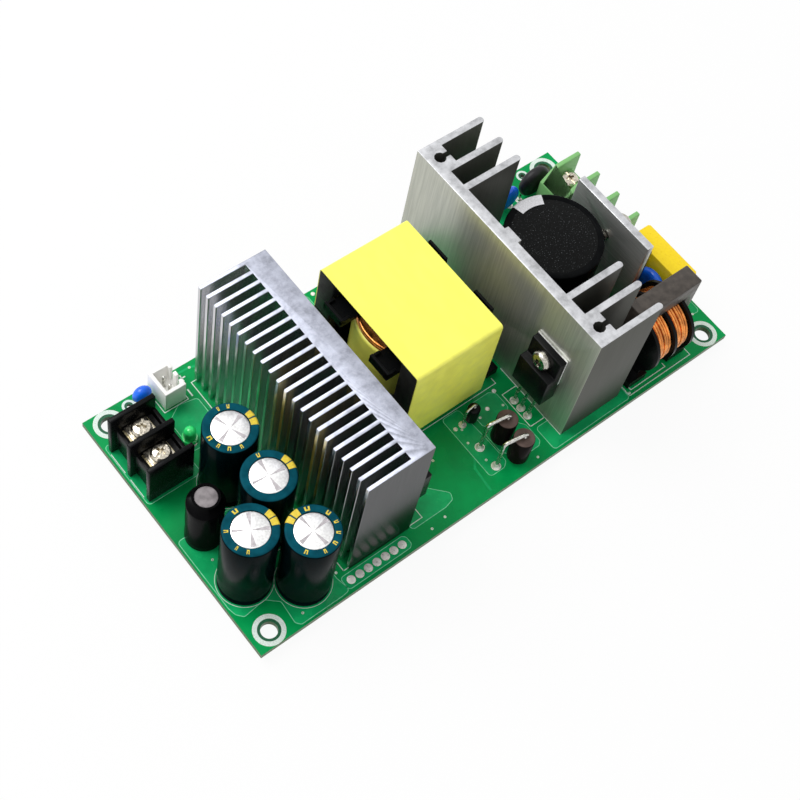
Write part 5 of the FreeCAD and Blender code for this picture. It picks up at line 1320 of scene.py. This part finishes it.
class SUPPLY_OT_small_parts(bpy.types.Operator):
    """Fan connector, indicator, drop and disc capacitors, thermistor, box capacitor and fuse"""

    bl_idname = "supply.small_parts"
    bl_label = "Small parts"

    def execute(self, context):
        eased_node("fan_connector_housing", 0.12, "white", "connector_white")
        eased_node("fan_connector_pins", 0.1, "lead", "tinned_lead")
        self.indicator()
        self.drop()
        for disc in DISCS:
            self.disc(*disc)
        eased_node("box_capacitor", 0.45, "box", "box_yellow", segments=3)
        eased_node("fuse", 0.3, "fuse", "fuse_case")
        round_leads("radial_leads")
        return {"FINISHED"}

    def indicator(self):
        """A round lens on a flange."""
        low, high, middle = node_box("indicator_led")
        radius, flange, step = LENS_RADIUS, (high.x - low.x) / 2, low.z + 1.0
        profile = [(0, low.z), (flange, low.z), (flange, step - 0.1), (flange - 0.1, step), (radius, step)]
        profile += arc((0, high.z - radius), radius, 0, 90, 8)
        turned_piece("indicator_lens", profile, (*middle.xy, 0), "lens", "led_green", "indicator_led",
                     steps=40, smooth=45)

    def drop(self):
        """A dipped bead: round above, drawn in below where its two leads leave."""
        low, high, middle = node_box("bypass_capacitor")
        half = (high - low) / 2
        bm = bmesh.new()
        made = bmesh.ops.create_uvsphere(bm, u_segments=32, v_segments=20, radius=1.0)["verts"]
        for vert in made:
            if vert.co.z < 0:
                pinch = 1 - 0.3 * vert.co.z ** 2
                vert.co.x *= pinch
                vert.co.y *= pinch
        bmesh.ops.scale(bm, vec=(half.x * 1.08, half.y * 1.15, half.z * 1.1), verts=made)
        bmesh.ops.translate(bm, vec=(*middle.xy, low.z + half.z * 1.1), verts=made)
        finish_piece("bypass_capacitor_bead", bm, "blue", "blue_epoxy", "bypass_capacitor", smooth=80)

    def disc(self, node, material, slot, axis, share):
        """A dipped disc that stands on its leads, no larger than its solid."""
        low, high, middle = node_box(node)
        thickness = high.y - low.y if axis == "Y" else high.x - low.x
        radius, half = share * (high.z - low.z) / 2, share * thickness / 2
        middle.z = low.z + radius
        profile = [(0, -half), (radius * 0.55, -half * 0.97), (radius - half * 0.85, -half * 0.85)]
        profile += arc((radius - half * 0.8, 0), half * 0.8, -72, 72, 8)
        profile += [(radius - half * 0.85, half * 0.85), (radius * 0.55, half * 0.97), (0, half)]
        turned_piece(f"{node}_coat", profile, middle, material, slot, node, axis=axis, steps=48, smooth=80)


# Line filter choke

# Inner radius of the choke's windings
CHOKE_TUBE = 5.2


class SUPPLY_OT_choke(bpy.types.Operator):
    """Ferrite frame, two-section bobbin and the two windings of the line filter choke"""

    bl_idname = "supply.choke"
    bl_label = "Line filter choke"

    def execute(self, context):
        eased_node("choke_core", 0.35, "choke_ferrite", "choke_ferrite")
        eased_node("choke_bobbin", 0.12, "bobbin", "bobbin_plastic", segments=1, over=50)
        bm = bmesh.new()
        for low, high in solids_in("choke_windings"):
            middle, radius = (low + high) / 2, (high.z - low.z) / 2
            profile = [(CHOKE_TUBE, low.x), (radius - 0.5, low.x)]
            profile += turns_profile(radius - 0.15, low.x, high.x, size("choke_wire"), 0.15)
            profile += [(radius - 0.5, high.x), (CHOKE_TUBE, high.x), (CHOKE_TUBE, low.x)]
            spun(bm, [(r, x - middle.x) for r, x in profile], middle, axis="X", steps=72)
        finish_piece("choke_turns", bm, "wire", "winding_copper", "choke_windings", smooth=60)
        eased_node("choke_pins", 0.1, "lead", "tinned_lead", segments=1)
        return {"FINISHED"}


# Power and small semiconductors

# How much of the bridge's top is cut away
BRIDGE_TRIM = 4.6
# Radii of the standing parts' leads
THICK_WIRE, THIN_WIRE = 0.48, 0.3
# Standing parts: node, finish, slot, distance and direction of the bent lead's foot, and wire radius
STANDING = (("standing_diode_1", "diode", "diode_case", 5.5, 168.5, THICK_WIRE),
            ("standing_diode_2", "diode", "diode_case", 5.5, 168.5, THICK_WIRE),
            ("standing_resistor", "case", "semiconductor_case", 2.5, 180.0, THIN_WIRE))
BODY_EASE = 0.45
# Height of the tips of the standing parts' leads
LEAD_END = -1.35


class SUPPLY_OT_semiconductors(bpy.types.Operator):
    """Switch, rectifiers, bridge, standing parts, coupler and controller with their leads"""

    bl_idname = "supply.semiconductors"
    bl_label = "Semiconductors"

    def execute(self, context):
        for node in ("switch_transistor", "output_rectifier_1", "output_rectifier_2"):
            eased_node(node, 0.3, "case", "semiconductor_case")
        for node in ("optocoupler", "controller_chip"):
            eased_node(node, 0.12, "case", "semiconductor_case")
        for node in ("switch_transistor_leads", "output_rectifier_leads", "bridge_rectifier_leads",
                     "optocoupler_leads", "controller_chip_leads"):
            eased_node(node, 0.06, "lead", "tinned_lead", segments=1)
        self.bridge()
        self.tab()
        self.standing()
        return {"FINISHED"}

    def bridge(self):
        """The bridge stays low enough to be hidden by its plate."""
        low, high, _ = node_box("bridge_rectifier")
        cutter = bmesh.new()
        block(cutter, (low.x - 1, low.y - 1, high.z - BRIDGE_TRIM), (high.x + 1, high.y + 1, high.z + 1))
        bm = carved(solid_of("bridge_rectifier"), cutter)
        ease(bm, 0.3)
        finish_piece("bridge_rectifier_finished", bm, "case", "semiconductor_case", "bridge_rectifier")

    def tab(self):
        """The tinned plate behind the switch shows as a bright line at its top and sides."""
        low, high, _ = node_box("switch_transistor")
        bm = bmesh.new()
        block(bm, (high.x - 0.55, low.y - 0.12, low.z + 6.0), (high.x - 0.01, high.y + 0.12, high.z + 0.25),
              0.08, 1)
        finish_piece("switch_transistor_tab", bm, "tab", "tinned_lead")

    def standing(self):
        """Round bodies on end, each with one lead straight down and one bent over from its top."""
        routes = {THICK_WIRE: [], THIN_WIRE: []}
        for node, material, slot, pitch, turn, wire in STANDING:
            low, high, middle = node_box(node)
            edge = (high.x - low.x) / 2 - BODY_EASE
            profile = [(0, low.z), (edge, low.z)]
            profile += arc((edge, low.z + BODY_EASE), BODY_EASE, -90, 0, 4)
            profile += arc((edge, high.z - BODY_EASE), BODY_EASE, 0, 90, 4)
            profile += [(0, high.z)]
            turned_piece(f"{node}_body", profile, (*middle.xy, 0), material, slot, node, steps=40)
            foot, crown = polar(middle, pitch, turn), high.z + 1.2 - wire
            routes[wire].append([(*middle.xy, LEAD_END), (*middle.xy, low.z)])
            corners = [(*middle.xy, high.z - 0.1), (*middle.xy, crown), (*foot, crown), (*foot, LEAD_END)]
            routes[wire].append(rounded_route(corners, 1.0))
        wire_piece("standing_wires_thick", routes[THICK_WIRE], THICK_WIRE, "lead", "tinned_lead",
                   "standing_part_leads")
        wire_piece("standing_wires_thin", routes[THIN_WIRE], THIN_WIRE, "lead", "tinned_lead")


# Stage

# Each lamp: its name, its place in metres and the side of its square
LAMPS = (("key", (-0.25, 0.35, 0.65), 0.5), ("fill", (0.1, -0.6, 0.5), 0.6))
FLOOR_HALF = 6.0


class SUPPLY_OT_stage(bpy.types.Operator):
    """White floor, soft studio light and the photograph's camera"""

    bl_idname = "supply.stage"
    bl_label = "Stage"

    def execute(self, context):
        scene = context.scene
        scene.view_settings.view_transform = "Standard"
        self.camera(scene)
        self.floor()
        self.lamps(scene)
        self.surroundings(scene)
        return {"FINISHED"}

    def camera(self, scene):
        camera = bpy.data.objects.new("camera", bpy.data.cameras.new("camera"))
        camera.data.lens = FOCAL_LENGTH
        camera.data.sensor_width = SENSOR_WIDTH
        camera.data.clip_start, camera.data.clip_end = 0.01, 20.0
        axes = Matrix((CAMERA_RIGHT, [-v for v in CAMERA_DOWN], [-v for v in CAMERA_FORWARD])).transposed()
        camera.matrix_world = Matrix.Translation(CAMERA_PLACE) @ axes.to_4x4()
        scene.collection.objects.link(camera)
        scene.camera = camera

    def floor(self):
        bm = bmesh.new()
        bmesh.ops.create_grid(bm, x_segments=1, y_segments=1, size=FLOOR_HALF)
        bmesh.ops.translate(bm, vec=(0, 0, CAD_LOW.z), verts=bm.verts)
        mesh = bpy.data.meshes.new("floor")
        bm.to_mesh(mesh)
        bm.free()
        mesh.materials.append(floor_paper(linear("#EDEDED")))
        floor = bpy.data.objects.new("floor", mesh)
        bpy.context.scene.collection.objects.link(floor)

    def lamps(self, scene):
        for name, place, side in LAMPS:
            data = bpy.data.lights.new(name, "AREA")
            data.energy = getattr(scene.supply_light, name)
            data.size = side
            lamp = bpy.data.objects.new(name, data)
            lamp.location = place
            lamp.rotation_euler = (-Vector(place)).to_track_quat("-Z", "Y").to_euler()
            scene.collection.objects.link(lamp)

    def surroundings(self, scene):
        world = bpy.data.worlds.new("studio")
        world.use_nodes = True
        tree = world.node_tree
        tree.nodes.clear()
        level = scene.supply_light.world
        strength = add(tree, "ShaderNodeMath", {"operation": "MULTIPLY_ADD"}, i0=seen_plainly(tree),
                       i1=1.0 - level, i2=level)
        back = add(tree, "ShaderNodeBackground", Color=(1, 1, 1, 1), Strength=strength)
        add(tree, "ShaderNodeOutputWorld", Surface=back)
        scene.world = world


class SUPPLY_PT_panel(bpy.types.Panel):
    """Panel that lists the sizes, the colours, the light and every step"""

    bl_label = "Power supply"
    bl_idname = "SUPPLY_PT_panel"
    bl_space_type = "VIEW_3D"
    bl_region_type = "UI"
    bl_category = "Power supply"

    def draw(self, context):
        scene = context.scene
        for group in (scene.supply_sizes, scene.supply_colours, scene.supply_light):
            for name in group.__annotations__:
                self.layout.prop(group, name)
        for step in STEPS:
            self.layout.operator(step.bl_idname)


STEPS = (SUPPLY_OT_board, SUPPLY_OT_heatsinks, SUPPLY_OT_screws, SUPPLY_OT_transformer, SUPPLY_OT_capacitors,
         SUPPLY_OT_inductor, SUPPLY_OT_terminals, SUPPLY_OT_small_parts, SUPPLY_OT_choke,
         SUPPLY_OT_semiconductors, SUPPLY_OT_stage)
CLASSES = (SupplySizes, SupplyColours, SupplyLight) + STEPS + (SUPPLY_PT_panel,)


def register():
    for cls in CLASSES:
        bpy.utils.register_class(cls)
    bpy.types.Scene.supply_sizes = PointerProperty(type=SupplySizes)
    bpy.types.Scene.supply_colours = PointerProperty(type=SupplyColours)
    bpy.types.Scene.supply_light = PointerProperty(type=SupplyLight)


def unregister():
    del bpy.types.Scene.supply_light
    del bpy.types.Scene.supply_colours
    del bpy.types.Scene.supply_sizes
    for cls in reversed(CLASSES):
        bpy.utils.unregister_class(cls)


def main():
    register()
    make_finishes()
    for step in STEPS:
        group, name = step.bl_idname.split(".")
        getattr(getattr(bpy.ops, group), name)()


if __name__ == "__main__":
    main()
